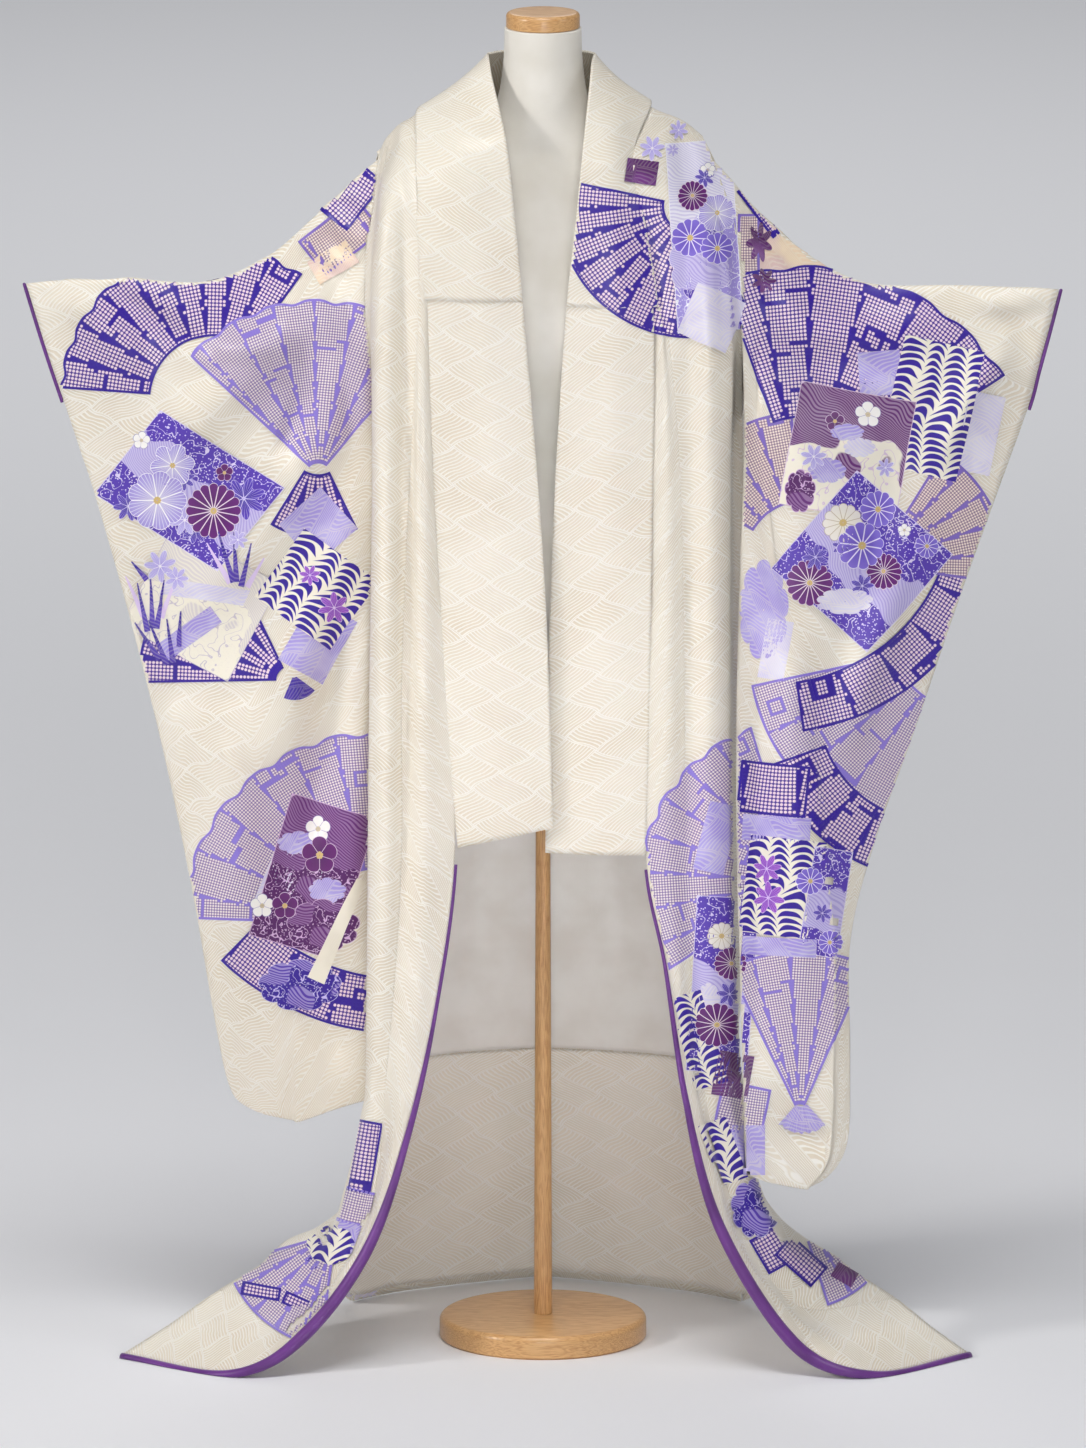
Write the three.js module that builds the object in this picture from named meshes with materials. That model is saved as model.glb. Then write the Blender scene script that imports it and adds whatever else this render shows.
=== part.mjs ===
// A long-sleeved furisode kimono hanging open on a limbless dress form.
// Units are millimetres, +Z is up and the wearer's front faces -Y.
// The origin is the middle of the underside of the round wooden base.
import * as THREE from "three";

// ---------------------------------------------------------------- sizes
const CLOTH = 1.6; // outer cloth, one layer with its interlining
const LINING = 1.2; // lining cloth
const SEAM = 0.3; // clear gap that every sewn joint keeps
const FLOOR_CLEAR = 4.4; // lowest the cloth's middle lies, with its lining below it
const CENTRE_CLEAR = 0.9; // how far each half stays from the middle plane
const BASE_RADIUS = 135;
const BASE_HEIGHT = 30;
const POLE_FOOT_RADIUS = 12;
const POLE_TOP_RADIUS = 9;
const FORM_BOTTOM = 800;
const NECK_TOP = 1733;
const CAP_RADIUS = 47.5;
const CAP_HEIGHT = 20;

// ---------------------------------------------------------------- colours
const SILK = { color: "#eee4cd", roughness: 0.5, metalness: 0 };
const LINING_SILK = { color: "#f4f0ea", roughness: 0.6, metalness: 0 };
const VIOLET = { color: "#6a3384", roughness: 0.55, metalness: 0 };
const COVER = { color: "#ece8e0", roughness: 0.8, metalness: 0 };
const WOOD = { color: "#c8965f", roughness: 0.4, metalness: 0 };

// ---------------------------------------------------------------- tables
// The front of the body, hem first and shoulder last. Each row holds four points:
// front edge, okumi seam, outer fold, side seam (or armhole edge), each x, y, z.
const FRONT_LEFT = [
  [[-545, -118, 5], [-425, -35, 68], [-318, 62, 108], [-252, 178, 8]],
  [[-404, -214, 6], [-313, -112, 64], [-262, -15, 160], [-240, 110, 185]],
  [[-314, -200, 54], [-258, -122, 130], [-240, -50, 235], [-226, 95, 275]],
  [[-236, -175, 156], [-222, -122, 225], [-230, -75, 310], [-216, 70, 355]],
  [[-183, -152, 294], [-205, -120, 345], [-228, -88, 400], [-210, 45, 440]],
  [[-141, -136, 470], [-192, -122, 490], [-227, -95, 520], [-206, 20, 545]],
  [[-114, -124, 679], [-182, -122, 685], [-225, -100, 700], [-205, 5, 710]],
  [[-127, -122, 900], [-182, -121, 900], [-222, -100, 905], [-205, 0, 905]],
  [[-143, -120, 1168], [-171, -119, 1168], [-215, -98, 1160], [-207, -5, 1150]],
  [[-149, -115, 1395], [-159, -114, 1392], [-214, -95, 1365], [-226, -64, 1345]],
  [[-157, -102, 1500], [-160, -102, 1499], [-210, -80, 1465], [-228, -50, 1440]],
  [[-158, -85, 1560], [-160, -84, 1559], [-204, -56, 1520], [-222, -34, 1500]],
  [[-156, -45, 1606], [-158, -45, 1605], [-196, -26, 1562], [-217, -16, 1545]],
  [[-150, 0, 1626], [-152, 0, 1625], [-186, 0, 1598], [-212, 0, 1572]],
];
const FRONT_RIGHT = [
  [[552, -112, 5], [462, -40, 58], [362, 45, 104], [262, 176, 8]],
  [[426, -219, 6], [340, -115, 64], [300, -20, 165], [262, 110, 185]],
  [[325, -202, 50], [284, -125, 130], [280, -50, 235], [254, 95, 275]],
  [[235, -175, 190], [236, -125, 240], [268, -72, 320], [248, 70, 355]],
  [[190, -155, 345], [206, -122, 370], [255, -80, 415], [258, 45, 440]],
  [[160, -138, 530], [190, -123, 530], [248, -84, 540], [264, 15, 545]],
  [[134, -122, 668], [183, -122, 685], [246, -86, 700], [268, 0, 710]],
  [[137, -121, 900], [182, -121, 900], [245, -86, 905], [268, -5, 905]],
  [[141, -119, 1168], [176, -119, 1168], [244, -86, 1160], [264, -8, 1150]],
  [[142, -114, 1374], [158, -113, 1372], [236, -92, 1365], [260, -72, 1355]],
  [[128, -104, 1480], [132, -104, 1479], [222, -80, 1470], [255, -56, 1450]],
  [[111, -90, 1566], [115, -89, 1565], [192, -58, 1530], [240, -36, 1508]],
  [[120, -45, 1606], [123, -45, 1605], [178, -26, 1580], [221, -16, 1556]],
  [[130, 0, 1632], [133, 0, 1631], [172, 0, 1610], [205, 0, 1588]],
];
// The back of the body. Each row: side point, inner point (centre seam or neckline),
// and how round the section is, 0 straight to 1 elliptic.
const BACK_LEFT = [
  [[-252, 178, 8], [-1, 316, 5], 0.25],
  [[-240, 110, 185], [-1, 288, 150], 0.45],
  [[-226, 95, 275], [-1, 262, 255], 0.6],
  [[-216, 70, 355], [-1, 236, 350], 0.75],
  [[-210, 45, 440], [-1, 212, 440], 0.85],
  [[-206, 20, 545], [-1, 186, 545], 0.9],
  [[-205, 5, 710], [-1, 156, 710], 0.95],
  [[-205, 0, 905], [-1, 136, 905], 1],
  [[-207, -5, 1150], [-1, 126, 1150], 1],
  [[-224, 64, 1345], [-1, 124, 1370], 0.8],
  [[-228, 50, 1440], [-1, 116, 1490], 0.6],
  [[-222, 34, 1500], [-1, 101, 1588], 0.35],
  [[-217, 16, 1545], [-85, 80, 1606], 0.1],
  [[-212, 0, 1572], [-150, 0, 1626], 0],
];
const BACK_RIGHT = [
  [[262, 176, 8], [1, 316, 5], 0.25],
  [[262, 110, 185], [1, 288, 150], 0.45],
  [[254, 95, 275], [1, 262, 255], 0.6],
  [[248, 70, 355], [1, 236, 350], 0.75],
  [[258, 45, 440], [1, 212, 440], 0.85],
  [[264, 15, 545], [1, 186, 545], 0.9],
  [[268, 0, 710], [1, 156, 710], 0.95],
  [[268, -5, 905], [1, 136, 905], 1],
  [[264, -8, 1150], [1, 126, 1150], 1],
  [[255, 66, 1355], [1, 124, 1370], 0.8],
  [[252, 52, 1450], [1, 116, 1490], 0.6],
  [[238, 36, 1508], [1, 101, 1588], 0.35],
  [[221, 16, 1556], [80, 80, 1606], 0.1],
  [[205, 0, 1588], [130, 0, 1632], 0],
];
// The sleeves, top fold first and bottom last. Each row: inner, crease and outer point
// of the front layer, how deep the bag is behind those three points, and the top sag.
const SLEEVE_LEFT = [
  [[-209, 0, 1568], [-318, -2, 1461], [-666, -6, 1398], [0, 0, 0], 1],
  [[-218, -29, 1500], [-318, -24, 1395], [-648, -13, 1338], [58, 46, 24], 0.9],
  [[-224, -45, 1440], [-318, -30, 1325], [-633, -13, 1290], [90, 56, 25], 0.7],
  [[-228.5, -63, 1345], [-318, -32, 1230], [-618, -8, 1243], [126, 56, 14], 0.4],
  [[-224, -47, 1275], [-318, -26, 1170], [-598, -6, 1180], [96, 46, 3], 0.3],
  [[-224, -28, 1200], [-318, -16, 1100], [-578, -4, 1116], [64, 38, 3], 0.2],
  [[-219, 12, 1020], [-318, 4, 960], [-536, 2, 960], [42, 30, 3], 0],
  [[-218, 36, 820], [-318, 20, 780], [-492, 8, 775], [32, 26, 3], 0],
  [[-218, 50, 620], [-318, 32, 590], [-456, 16, 590], [26, 24, 3], 0],
  [[-223, 58, 450], [-318, 42, 430], [-430, 26, 430], [22, 20, 3], 0],
  [[-231, 60, 340], [-318, 48, 310], [-412, 34, 335], [14, 14, 3], 0],
  [[-234, 62, 302], [-318, 50, 275], [-392, 38, 293], [3, 3, 3], 0],
];
const SLEEVE_RIGHT = [
  [[203, 0, 1580], [290, -2, 1477], [665, -6, 1390], [0, 0, 0], 1],
  [[236, -31, 1508], [296, -42, 1415], [651, -14, 1335], [62, 66, 24], 0.9],
  [[251, -51, 1450], [292, -68, 1355], [638, -14, 1285], [98, 92, 25], 0.7],
  [[263, -74, 1352], [286, -88, 1300], [625, -8, 1233], [134, 84, 14], 0.4],
  [[267, -90, 1200], [292, -98, 1150], [583, -6, 1112], [36, 44, 3], 0.2],
  [[262, -96, 1040], [312, -100, 1000], [537, -8, 980], [24, 30, 3], 0],
  [[258, -100, 860], [334, -102, 840], [480, -16, 808], [18, 24, 3], 0],
  [[258, -102, 690], [354, -103, 680], [432, -34, 675], [16, 20, 3], 0],
  [[262, -103, 540], [372, -104, 550], [398, -70, 545], [16, 16, 3], 0],
  [[266, -108, 400], [372, -108, 400], [398, -92, 400], [16, 12, 3], 0],
  [[270, -120, 270], [368, -112, 270], [396, -100, 290], [8, 8, 3], 0],
  [[273, -124, 238], [340, -116, 224], [377, -104, 240], [3, 3, 3], 0],
];
// How thick the padded roll is down the front edge, row by row from the hem's tip.
const ROLL = [5, 6.5, 9.5, 8, 4.5, 2.5, 2];
const SAG_LEFT = [0, 0, 0, 24, 40, 16, 0];
const SAG_RIGHT = [0, 0, 0, 30, 50, 24, 0];
// The collar from its left end, round the back of the neck, to its right end.
// Each row: seam point, middle and free edge.
const COLLAR = [
  [[-110, -126, 680], [-50, -136, 694], [13, -134, 708]],
  [[-126, -126, 860], [-62, -139, 860], [9, -134, 862]],
  [[-134, -125, 1010], [-68, -139, 1010], [3, -134, 1010]],
  [[-143, -124, 1168], [-76, -138, 1168], [-7, -132, 1168]],
  [[-149, -120, 1395], [-90, -132, 1395], [-26, -126, 1395]],
  [[-156, -106, 1500], [-100, -122, 1500], [-36, -117, 1500]],
  [[-157, -72, 1588], [-106, -92, 1592], [-47, -92, 1600]],
  [[-152, 0, 1631], [-110, -14, 1658], [-68, -24, 1686]],
  [[-90, 80, 1611], [-78, 62, 1652], [-62, 44, 1692]],
  [[0, 102, 1594], [0, 93, 1642], [0, 80, 1688]],
  [[90, 80, 1611], [76, 62, 1652], [60, 44, 1692]],
  [[134, 0, 1637], [98, -14, 1660], [62, -24, 1686]],
  [[113, -76, 1580], [88, -90, 1590], [52, -92, 1600]],
  [[129, -108, 1480], [90, -120, 1490], [42, -117, 1500]],
  [[142, -118, 1374], [86, -128, 1374], [29, -122, 1374]],
  [[141, -123, 1168], [78, -131, 1168], [16, -122, 1168]],
  [[139, -125, 1010], [74, -131, 1010], [10, -120, 1010]],
  [[137, -125, 860], [72, -130, 860], [5, -120, 860]],
  [[133, -126, 670], [68, -129, 671], [3, -120, 672]],
];
const OVER_COLLAR_ENDS = [4.02, 13.9]; // rows of COLLAR where the over-collar stops
// The dress form: height, half width, half depth, middle y of each section.
const FORM = [
  [FORM_BOTTOM, 150, 104, 8],
  [840, 158, 108, 8],
  [900, 162, 110, 8],
  [980, 152, 104, 6],
  [1060, 130, 92, 2],
  [1120, 120, 86, 0],
  [1200, 128, 92, 0],
  [1290, 150, 104, -2],
  [1350, 160, 106, -2],
  [1430, 166, 96, 2],
  [1500, 162, 80, 6],
  [1545, 142, 70, 8],
  [1575, 112, 62, 8],
  [1600, 82, 58, 6],
  [1622, 66, 55, 4],
  [1650, 56, 53, 2],
  [1690, 51, 50.5, 1],
  [1712, 50, 50, 0],
  [NECK_TOP - 1, 49.5, 49.5, 0],
];

// ---------------------------------------------------------------- curves
const vec = ([x, y, z]) => new THREE.Vector3(x, y, z);
const mix = (a, b, t) => a.clone().lerp(b, t);

// Uniform Catmull-Rom through a list of vectors, at t counted in list places.
function along(points, t) {
  const last = points.length - 1;
  const i = Math.min(Math.max(Math.floor(t), 0), last - 1);
  const f = t - i;
  const at = (k) => {
    if (k < 0) return points[0].clone().multiplyScalar(2).sub(points[1]);
    if (k > last) return points[last].clone().multiplyScalar(2).sub(points[last - 1]);
    return points[k];
  };
  const [p, q, r, s] = [at(i - 1), at(i), at(i + 1), at(i + 2)];
  const weight = [
    -0.5 * f ** 3 + f ** 2 - 0.5 * f,
    1.5 * f ** 3 - 2.5 * f ** 2 + 1,
    -1.5 * f ** 3 + 2 * f ** 2 + 0.5 * f,
    0.5 * f ** 3 - 0.5 * f ** 2,
  ];
  const sum = new THREE.Vector3();
  [p, q, r, s].forEach((point, k) => sum.addScaledVector(point, weight[k]));
  return sum;
}

// A smooth surface through a net of rows: u runs along a row, v from row to row.
const surface = (net) => (u, v) => along(net.map((row) => along(row, u)), v);

// ---------------------------------------------------------------- nets
// One front row in full: edge, pleat, okumi seam, ridge, fold, tuck, side.
function frontRow(points) {
  const [edge, seam, fold, side] = points.map(vec);
  const sign = Math.sign(side.x);
  const wide = Math.min(edge.distanceTo(seam) / 60, 1);
  const pleat = mix(edge, seam, 0.5).add(new THREE.Vector3(0, -9 * wide, 0));
  const ridge = mix(seam, fold, 0.55).add(new THREE.Vector3(sign * 4, -11, 0));
  const tuck = mix(fold, side, 0.5).add(new THREE.Vector3(-sign * 5, 0, 0));
  if (side.y === 0 && edge.y === 0) {
    return [edge, mix(edge, seam, 0.5), seam, mix(seam, fold, 0.5), fold, mix(fold, side, 0.5), side];
  }
  return [edge, pleat, seam, ridge, fold, tuck, side];
}

// One back row in full, from the side to the inner point.
function backRow([sidePoint, innerPoint, round]) {
  const [side, inner] = [vec(sidePoint), vec(innerPoint)];
  return [1, 0.75, 0.5, 0.25, 0].map((k) => {
    const turn = (k * Math.PI) / 2;
    const fx = k + (Math.sin(turn) - k) * round;
    const fy = 1 - k + (Math.cos(turn) ** 0.6 - (1 - k)) * round;
    return new THREE.Vector3(
      inner.x + (side.x - inner.x) * fx,
      side.y + (inner.y - side.y) * fy,
      inner.z + (side.z - inner.z) * k * k,
    );
  });
}

// Half of the body. `wrap` runs from the front edge (u 0) round the side seam (u 6)
// to the centre back (u 10). `strip` is the one length of cloth that goes from the
// front hem over the shoulder to the back hem, u 0 at its inner edge, u 4 at its side.
const SIDE = 6;
const CENTRE_BACK = 10;
const STRIP_WIDE = 4;
function bodyNets(front, back) {
  const fronts = front.map(frontRow);
  const backs = back.map(backRow);
  const sewn = fronts.map((row, i) => row[SIDE].distanceTo(backs[i][0]) < 1);
  const beyond = (a, b) => a.clone().multiplyScalar(2).sub(b);
  const frontCurve = (i, u) => {
    const row = fronts[i];
    return along([...row, sewn[i] ? backs[i][1] : beyond(row[SIDE], row[SIDE - 1])], u);
  };
  const backCurve = (i, u) => {
    const row = backs[i];
    return along([sewn[i] ? fronts[i][SIDE - 1] : beyond(row[0], row[1]), ...row], u + 1);
  };
  const sign = Math.sign(fronts[0][0].x);
  const settle = (p) => {
    p.z = Math.max(p.z, FLOOR_CLEAR);
    p.x = sign * Math.max(sign * p.x, CENTRE_CLEAR);
    return p;
  };
  const order = fronts.map((_, i) => i);
  const wrap = (u, v) =>
    settle(along(order.map((i) => (u <= SIDE ? frontCurve(i, u) : backCurve(i, u - SIDE))), v));
  const strip = (u, v) => {
    const row = [
      ...order.map((i) => frontCurve(i, u + SIDE - STRIP_WIDE)),
      ...order.slice(0, -1).reverse().map((i) => backCurve(i, STRIP_WIDE - u)),
    ];
    return settle(along(row, v));
  };
  return { wrap, strip, rows: front.length };
}

// One sleeve row in full: inner, half way, crease, behind it, two outer ones, outer edge.
function sleeveRow([inner, crease, outer, , sag], sags) {
  const [a, c, o] = [inner, crease, outer].map(vec);
  const drop = (k) => new THREE.Vector3(0, 0, -sags[k] * sag);
  return [
    a,
    mix(a, c, 0.5),
    c,
    mix(c, o, 0.12).add(drop(3)),
    mix(c, o, 0.33).add(drop(4)),
    mix(c, o, 0.66).add(drop(5)),
    o,
  ];
}

function sleeveNet(table, sags) {
  const depthAt = ([a, c, o]) => [
    a,
    (a + c) / 2,
    c,
    c + (o - c) * 0.12,
    c + (o - c) * 0.33,
    c + (o - c) * 0.66,
    o,
  ];
  const front = table.map((row) => sleeveRow(row, sags));
  const back = front.map((row, i) => {
    const depth = depthAt(table[i][3]);
    return row.map((p, k) => p.clone().add(new THREE.Vector3(0, depth[k], 0)));
  });
  return surface([...front].reverse().concat(back.slice(1)));
}

// ---------------------------------------------------------------- solids
// Even steps from a to b, both included.
const steps = (a, b, n) => Array.from({ length: n + 1 }, (_, i) => a + ((b - a) * i) / n);

// A cloth wall: the surface over the given u and v places, between two offsets
// along its normal. The offsets are signed distances from the surface.
function wall(place, us, vs, from, to) {
  const grid = vs.map((v) => us.map((u) => place(u, v)));
  const [m, n] = [vs.length, us.length];
  const clampAt = (j, i) => grid[Math.min(Math.max(j, 0), m - 1)][Math.min(Math.max(i, 0), n - 1)];
  const normal = (j, i) => {
    const across = clampAt(j, i + 1).clone().sub(clampAt(j, i - 1));
    const up = clampAt(j + 1, i).clone().sub(clampAt(j - 1, i));
    return across.cross(up).normalize();
  };
  const positions = [];
  for (const offset of [from, to]) {
    for (let j = 0; j < m; j += 1) {
      for (let i = 0; i < n; i += 1) {
        positions.push(...grid[j][i].clone().addScaledVector(normal(j, i), offset).toArray());
      }
    }
  }
  const id = (layer, j, i) => layer * m * n + j * n + i;
  const index = [];
  const quad = (a, b, c, d) => index.push(a, b, c, a, c, d);
  for (let j = 0; j < m - 1; j += 1) {
    for (let i = 0; i < n - 1; i += 1) {
      quad(id(1, j, i), id(1, j, i + 1), id(1, j + 1, i + 1), id(1, j + 1, i));
      quad(id(0, j, i), id(0, j + 1, i), id(0, j + 1, i + 1), id(0, j, i + 1));
    }
  }
  for (let i = 0; i < n - 1; i += 1) {
    quad(id(0, 0, i), id(0, 0, i + 1), id(1, 0, i + 1), id(1, 0, i));
    quad(id(1, m - 1, i), id(1, m - 1, i + 1), id(0, m - 1, i + 1), id(0, m - 1, i));
  }
  for (let j = 0; j < m - 1; j += 1) {
    quad(id(1, j, 0), id(1, j + 1, 0), id(0, j + 1, 0), id(0, j, 0));
    quad(id(0, j, n - 1), id(0, j + 1, n - 1), id(1, j + 1, n - 1), id(1, j, n - 1));
  }
  return closed(positions, index);
}

// Rings of points joined into one closed solid with flat ends.
function lofted(rings) {
  const n = rings[0].length;
  const positions = rings.flat().flatMap((p) => p.toArray());
  const index = [];
  for (let j = 0; j < rings.length - 1; j += 1) {
    for (let i = 0; i < n; i += 1) {
      const k = (i + 1) % n;
      index.push(j * n + i, j * n + k, (j + 1) * n + k);
      index.push(j * n + i, (j + 1) * n + k, (j + 1) * n + i);
    }
  }
  const top = (rings.length - 1) * n;
  for (let i = 1; i < n - 1; i += 1) {
    index.push(0, i + 1, i);
    index.push(top, top + i, top + i + 1);
  }
  return closed(positions, index);
}

// The indexed geometry, turned inside out where its faces point inwards.
function closed(positions, index) {
  const at = (k) => new THREE.Vector3().fromArray(positions, 3 * k);
  let volume = 0;
  for (let i = 0; i < index.length; i += 3) {
    volume += at(index[i]).dot(at(index[i + 1]).cross(at(index[i + 2])));
  }
  if (volume < 0) index.reverse();
  const geometry = new THREE.BufferGeometry();
  geometry.setAttribute("position", new THREE.Float32BufferAttribute(positions, 3));
  geometry.setIndex(index);
  geometry.computeVertexNormals();
  return geometry;
}

// A soft roll beside a path of points, on the side that `out` points to and clear of
// them by `gap`. Each section is an ellipse, wide and deep as given.
function roll(path, wide, deep, out, gap, sides = 8) {
  const rings = path.map((beside, j) => {
    const before = path[Math.max(j - 1, 0)];
    const after = path[Math.min(j + 1, path.length - 1)];
    const tangent = after.clone().sub(before).normalize();
    const side = out[j].clone().addScaledVector(tangent, -out[j].dot(tangent)).normalize();
    const lift = tangent.clone().cross(side);
    return steps(0, 2 * Math.PI, sides).slice(0, sides).map((angle) => {
      const p = beside
        .clone()
        .addScaledVector(side, gap + wide[j] * (1 + Math.cos(angle)))
        .addScaledVector(lift, Math.sin(angle) * deep[j]);
      p.z = Math.max(p.z, SEAM);
      return p;
    });
  });
  return lofted(rings);
}

// ---------------------------------------------------------------- assembly
const root = new THREE.Group();
function add(parent, name, geometry, finish) {
  const mesh = new THREE.Mesh(geometry, new THREE.MeshStandardMaterial(finish));
  mesh.name = name;
  parent.add(mesh);
  return mesh;
}

// A turned wooden piece: radius and height pairs from the axis to the axis.
function turned(profile, segments) {
  const lathe = new THREE.LatheGeometry(profile.map(([r, z]) => new THREE.Vector2(r, z)), segments);
  return lathe.rotateX(Math.PI / 2);
}

const stand = new THREE.Group();
root.add(stand);
add(
  stand,
  "base",
  turned(
    [
      [0, 0],
      [BASE_RADIUS - 2, 0],
      [BASE_RADIUS, 3],
      [BASE_RADIUS, BASE_HEIGHT - 9],
      [BASE_RADIUS - 3, BASE_HEIGHT - 3],
      [BASE_RADIUS - 9, BASE_HEIGHT],
      [0, BASE_HEIGHT],
    ],
    64,
  ),
  WOOD,
);
add(
  stand,
  "pole",
  turned(
    [
      [0, BASE_HEIGHT + SEAM],
      [POLE_FOOT_RADIUS, BASE_HEIGHT + SEAM],
      [POLE_TOP_RADIUS, FORM_BOTTOM - SEAM],
      [0, FORM_BOTTOM - SEAM],
    ],
    24,
  ),
  WOOD,
);

const FORM_SIDES = 32;
const formRings = FORM.map(([z, halfWidth, halfDepth, middle]) =>
  steps(0, 2 * Math.PI, FORM_SIDES).slice(0, FORM_SIDES).map(
    (angle) => new THREE.Vector3(Math.cos(angle) * halfWidth, middle + Math.sin(angle) * halfDepth, z),
  ),
);
add(stand, "form", lofted(formRings), COVER);
add(
  stand,
  "neck_cap",
  turned(
    [
      [0, NECK_TOP],
      [CAP_RADIUS, NECK_TOP],
      [CAP_RADIUS, NECK_TOP + CAP_HEIGHT - 6],
      [CAP_RADIUS - 6, NECK_TOP + CAP_HEIGHT],
      [0, NECK_TOP + CAP_HEIGHT],
    ],
    48,
  ).translate(0, 0, -SEAM),
  WOOD,
);

const garment = new THREE.Group();
root.add(garment);
const HALF = CLOTH / 2;
const LINING_OUT = HALF + 2 * SEAM; // lining face nearest the outer cloth
const LINING_IN = LINING_OUT + LINING;
const EDGE = 0.02; // how far a sewn edge stands back, in net places
const HEM_LINING_TOP = 3.5; // row of the body table where the damask lining stops
const ROWS = [0, 0.5, 1, 1.5, 2, 2.5, 3, 3.5, 4, 5, 6, 7, 8, 9, 10, 11, 12];
const OKUMI_ROWS = [...ROWS.filter((v) => v < 10), 9.95];
const ROLL_ROWS = [...ROWS.filter((v) => v < 6), 5.9].reverse();

function side(name, front, back, inward) {
  const { wrap, strip, rows } = bodyNets(front, back);
  const last = 2 * rows - 2;
  const wide = steps(EDGE, STRIP_WIDE - EDGE, 8);
  const long = [...ROWS, rows - 1, ...[...ROWS].reverse().map((v) => last - v)];
  add(garment, `body_${name}`, wall(strip, wide, long, -HALF, HALF), SILK);
  const okumi = steps(0, SIDE - STRIP_WIDE - EDGE, 3);
  add(garment, `okumi_${name}`, wall(wrap, okumi, OKUMI_ROWS, -HALF, HALF), SILK);
  const offsets = [inward * LINING_OUT, inward * LINING_IN];
  const across = [
    0.08,
    ...okumi.slice(1),
    ...wide.map((u) => u + SIDE - STRIP_WIDE),
    ...[...wide].reverse().slice(1).map((u) => CENTRE_BACK - u),
  ];
  const low = [0.06, ...ROWS.filter((v) => v > 0 && v < HEM_LINING_TOP), HEM_LINING_TOP - 0.01];
  const high = [HEM_LINING_TOP + 0.01, ...ROWS.filter((v) => v > HEM_LINING_TOP && v < 8)];
  add(garment, `hem_lining_${name}`, wall(wrap, across, low, ...offsets), SILK);
  add(garment, `lining_${name}`, wall(wrap, across, high, ...offsets), LINING_SILK);
  return wrap;
}
const wrapLeft = side("left", FRONT_LEFT, BACK_LEFT, 1);
const wrapRight = side("right", FRONT_RIGHT, BACK_RIGHT, -1);

for (const [name, table, sags] of [
  ["left", SLEEVE_LEFT, SAG_LEFT],
  ["right", SLEEVE_RIGHT, SAG_RIGHT],
]) {
  const place = sleeveNet(table, sags);
  const middle = table.length - 1;
  const long = steps(0, 2 * middle, 2 * middle);
  long.splice(middle, 1, middle - 0.5, middle - 0.15, middle + 0.15, middle + 0.5);
  add(garment, `sleeve_${name}`, wall(place, steps(0, 6, 8), long, -HALF, HALF), SILK);
  const cuffPath = long.filter((v) => Math.abs(v - middle) <= 3).map((v) => place(6, v));
  const outward = Math.sign(cuffPath[0].x);
  const size = cuffPath.map(() => 2.2);
  const out = cuffPath.map(() => new THREE.Vector3(outward, 0, 0));
  add(garment, `cuff_edge_${name}`, roll(cuffPath, size, size.map(() => 1.6), out, 0.7, 6), VIOLET);
}

const collar = surface(COLLAR.map((row) => row.map(vec)));
const collarWide = steps(0, 2, 4);
const collarLong = steps(0, COLLAR.length - 1, 36);
add(garment, "collar", wall(collar, collarWide, collarLong, -HALF, HALF), SILK);
const overLong = collarLong.filter((v) => v > OVER_COLLAR_ENDS[0] && v < OVER_COLLAR_ENDS[1]);
add(
  garment,
  "over_collar",
  wall(
    collar,
    [0.02, ...collarWide.slice(1, -1), 1.98],
    [OVER_COLLAR_ENDS[0], ...overLong, OVER_COLLAR_ENDS[1]],
    HALF + SEAM,
    HALF + SEAM + LINING,
  ),
  SILK,
);

// The padded violet roll down each front edge, from the collar's end to the hem's tip.
for (const [name, wrap] of [
  ["left", wrapLeft],
  ["right", wrapRight],
]) {
  const path = [];
  const wide = [];
  const out = [];
  for (const v of ROLL_ROWS) {
    const edge = wrap(0, v);
    const outward = edge.clone().sub(wrap(0.25, v)).normalize();
    const row = Math.floor(v);
    const size = THREE.MathUtils.lerp(ROLL[row], ROLL[row + 1], v - row);
    path.push(edge);
    wide.push(size);
    out.push(outward);
  }
  add(garment, `front_roll_${name}`, roll(path, wide, wide.map((w) => 0.85 * w), out, 2 * SEAM), VIOLET);
}

export default root;
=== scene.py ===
"""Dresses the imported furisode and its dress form: cloth, printed motifs, wood and studio.

Everything is in metres in the model's own frame: +Z up, the open front facing -Y.
"""

from __future__ import annotations

import logging
import math
from dataclasses import dataclass, field, replace
from enum import Enum
from functools import partialmethod

import bmesh
import bpy
import numpy as np
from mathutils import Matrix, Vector
from mathutils.bvhtree import BVHTree

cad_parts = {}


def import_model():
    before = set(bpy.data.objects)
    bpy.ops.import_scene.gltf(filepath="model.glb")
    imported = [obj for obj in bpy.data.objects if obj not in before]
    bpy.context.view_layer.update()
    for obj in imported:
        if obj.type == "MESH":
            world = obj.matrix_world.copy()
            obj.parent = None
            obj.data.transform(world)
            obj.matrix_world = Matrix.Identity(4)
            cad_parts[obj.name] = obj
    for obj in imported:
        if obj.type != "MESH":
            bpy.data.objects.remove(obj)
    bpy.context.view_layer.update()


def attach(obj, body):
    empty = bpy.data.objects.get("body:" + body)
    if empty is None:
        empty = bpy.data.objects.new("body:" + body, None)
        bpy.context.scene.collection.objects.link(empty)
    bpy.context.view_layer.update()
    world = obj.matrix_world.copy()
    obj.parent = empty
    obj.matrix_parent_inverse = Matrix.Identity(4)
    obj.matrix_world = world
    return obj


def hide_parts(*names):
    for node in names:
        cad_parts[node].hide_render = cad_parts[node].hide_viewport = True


LOG = logging.getLogger("furisode")
MM = 0.001
VIEW_TILT = math.radians(12.0)  # how far the eye looks down
SILK_THICK = 1.3 * MM
HALF_SILK = SILK_THICK / 2
PRINT_LIFT = 0.9 * MM  # how far printed colour stands off the face of its cloth
LAYER_LIFT = 0.28 * MM  # from one printed layer to the next
SUB_LAYERS = 8  # heights within a layer, so that neighbours never lie in one plane

Net = np.ndarray


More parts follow.
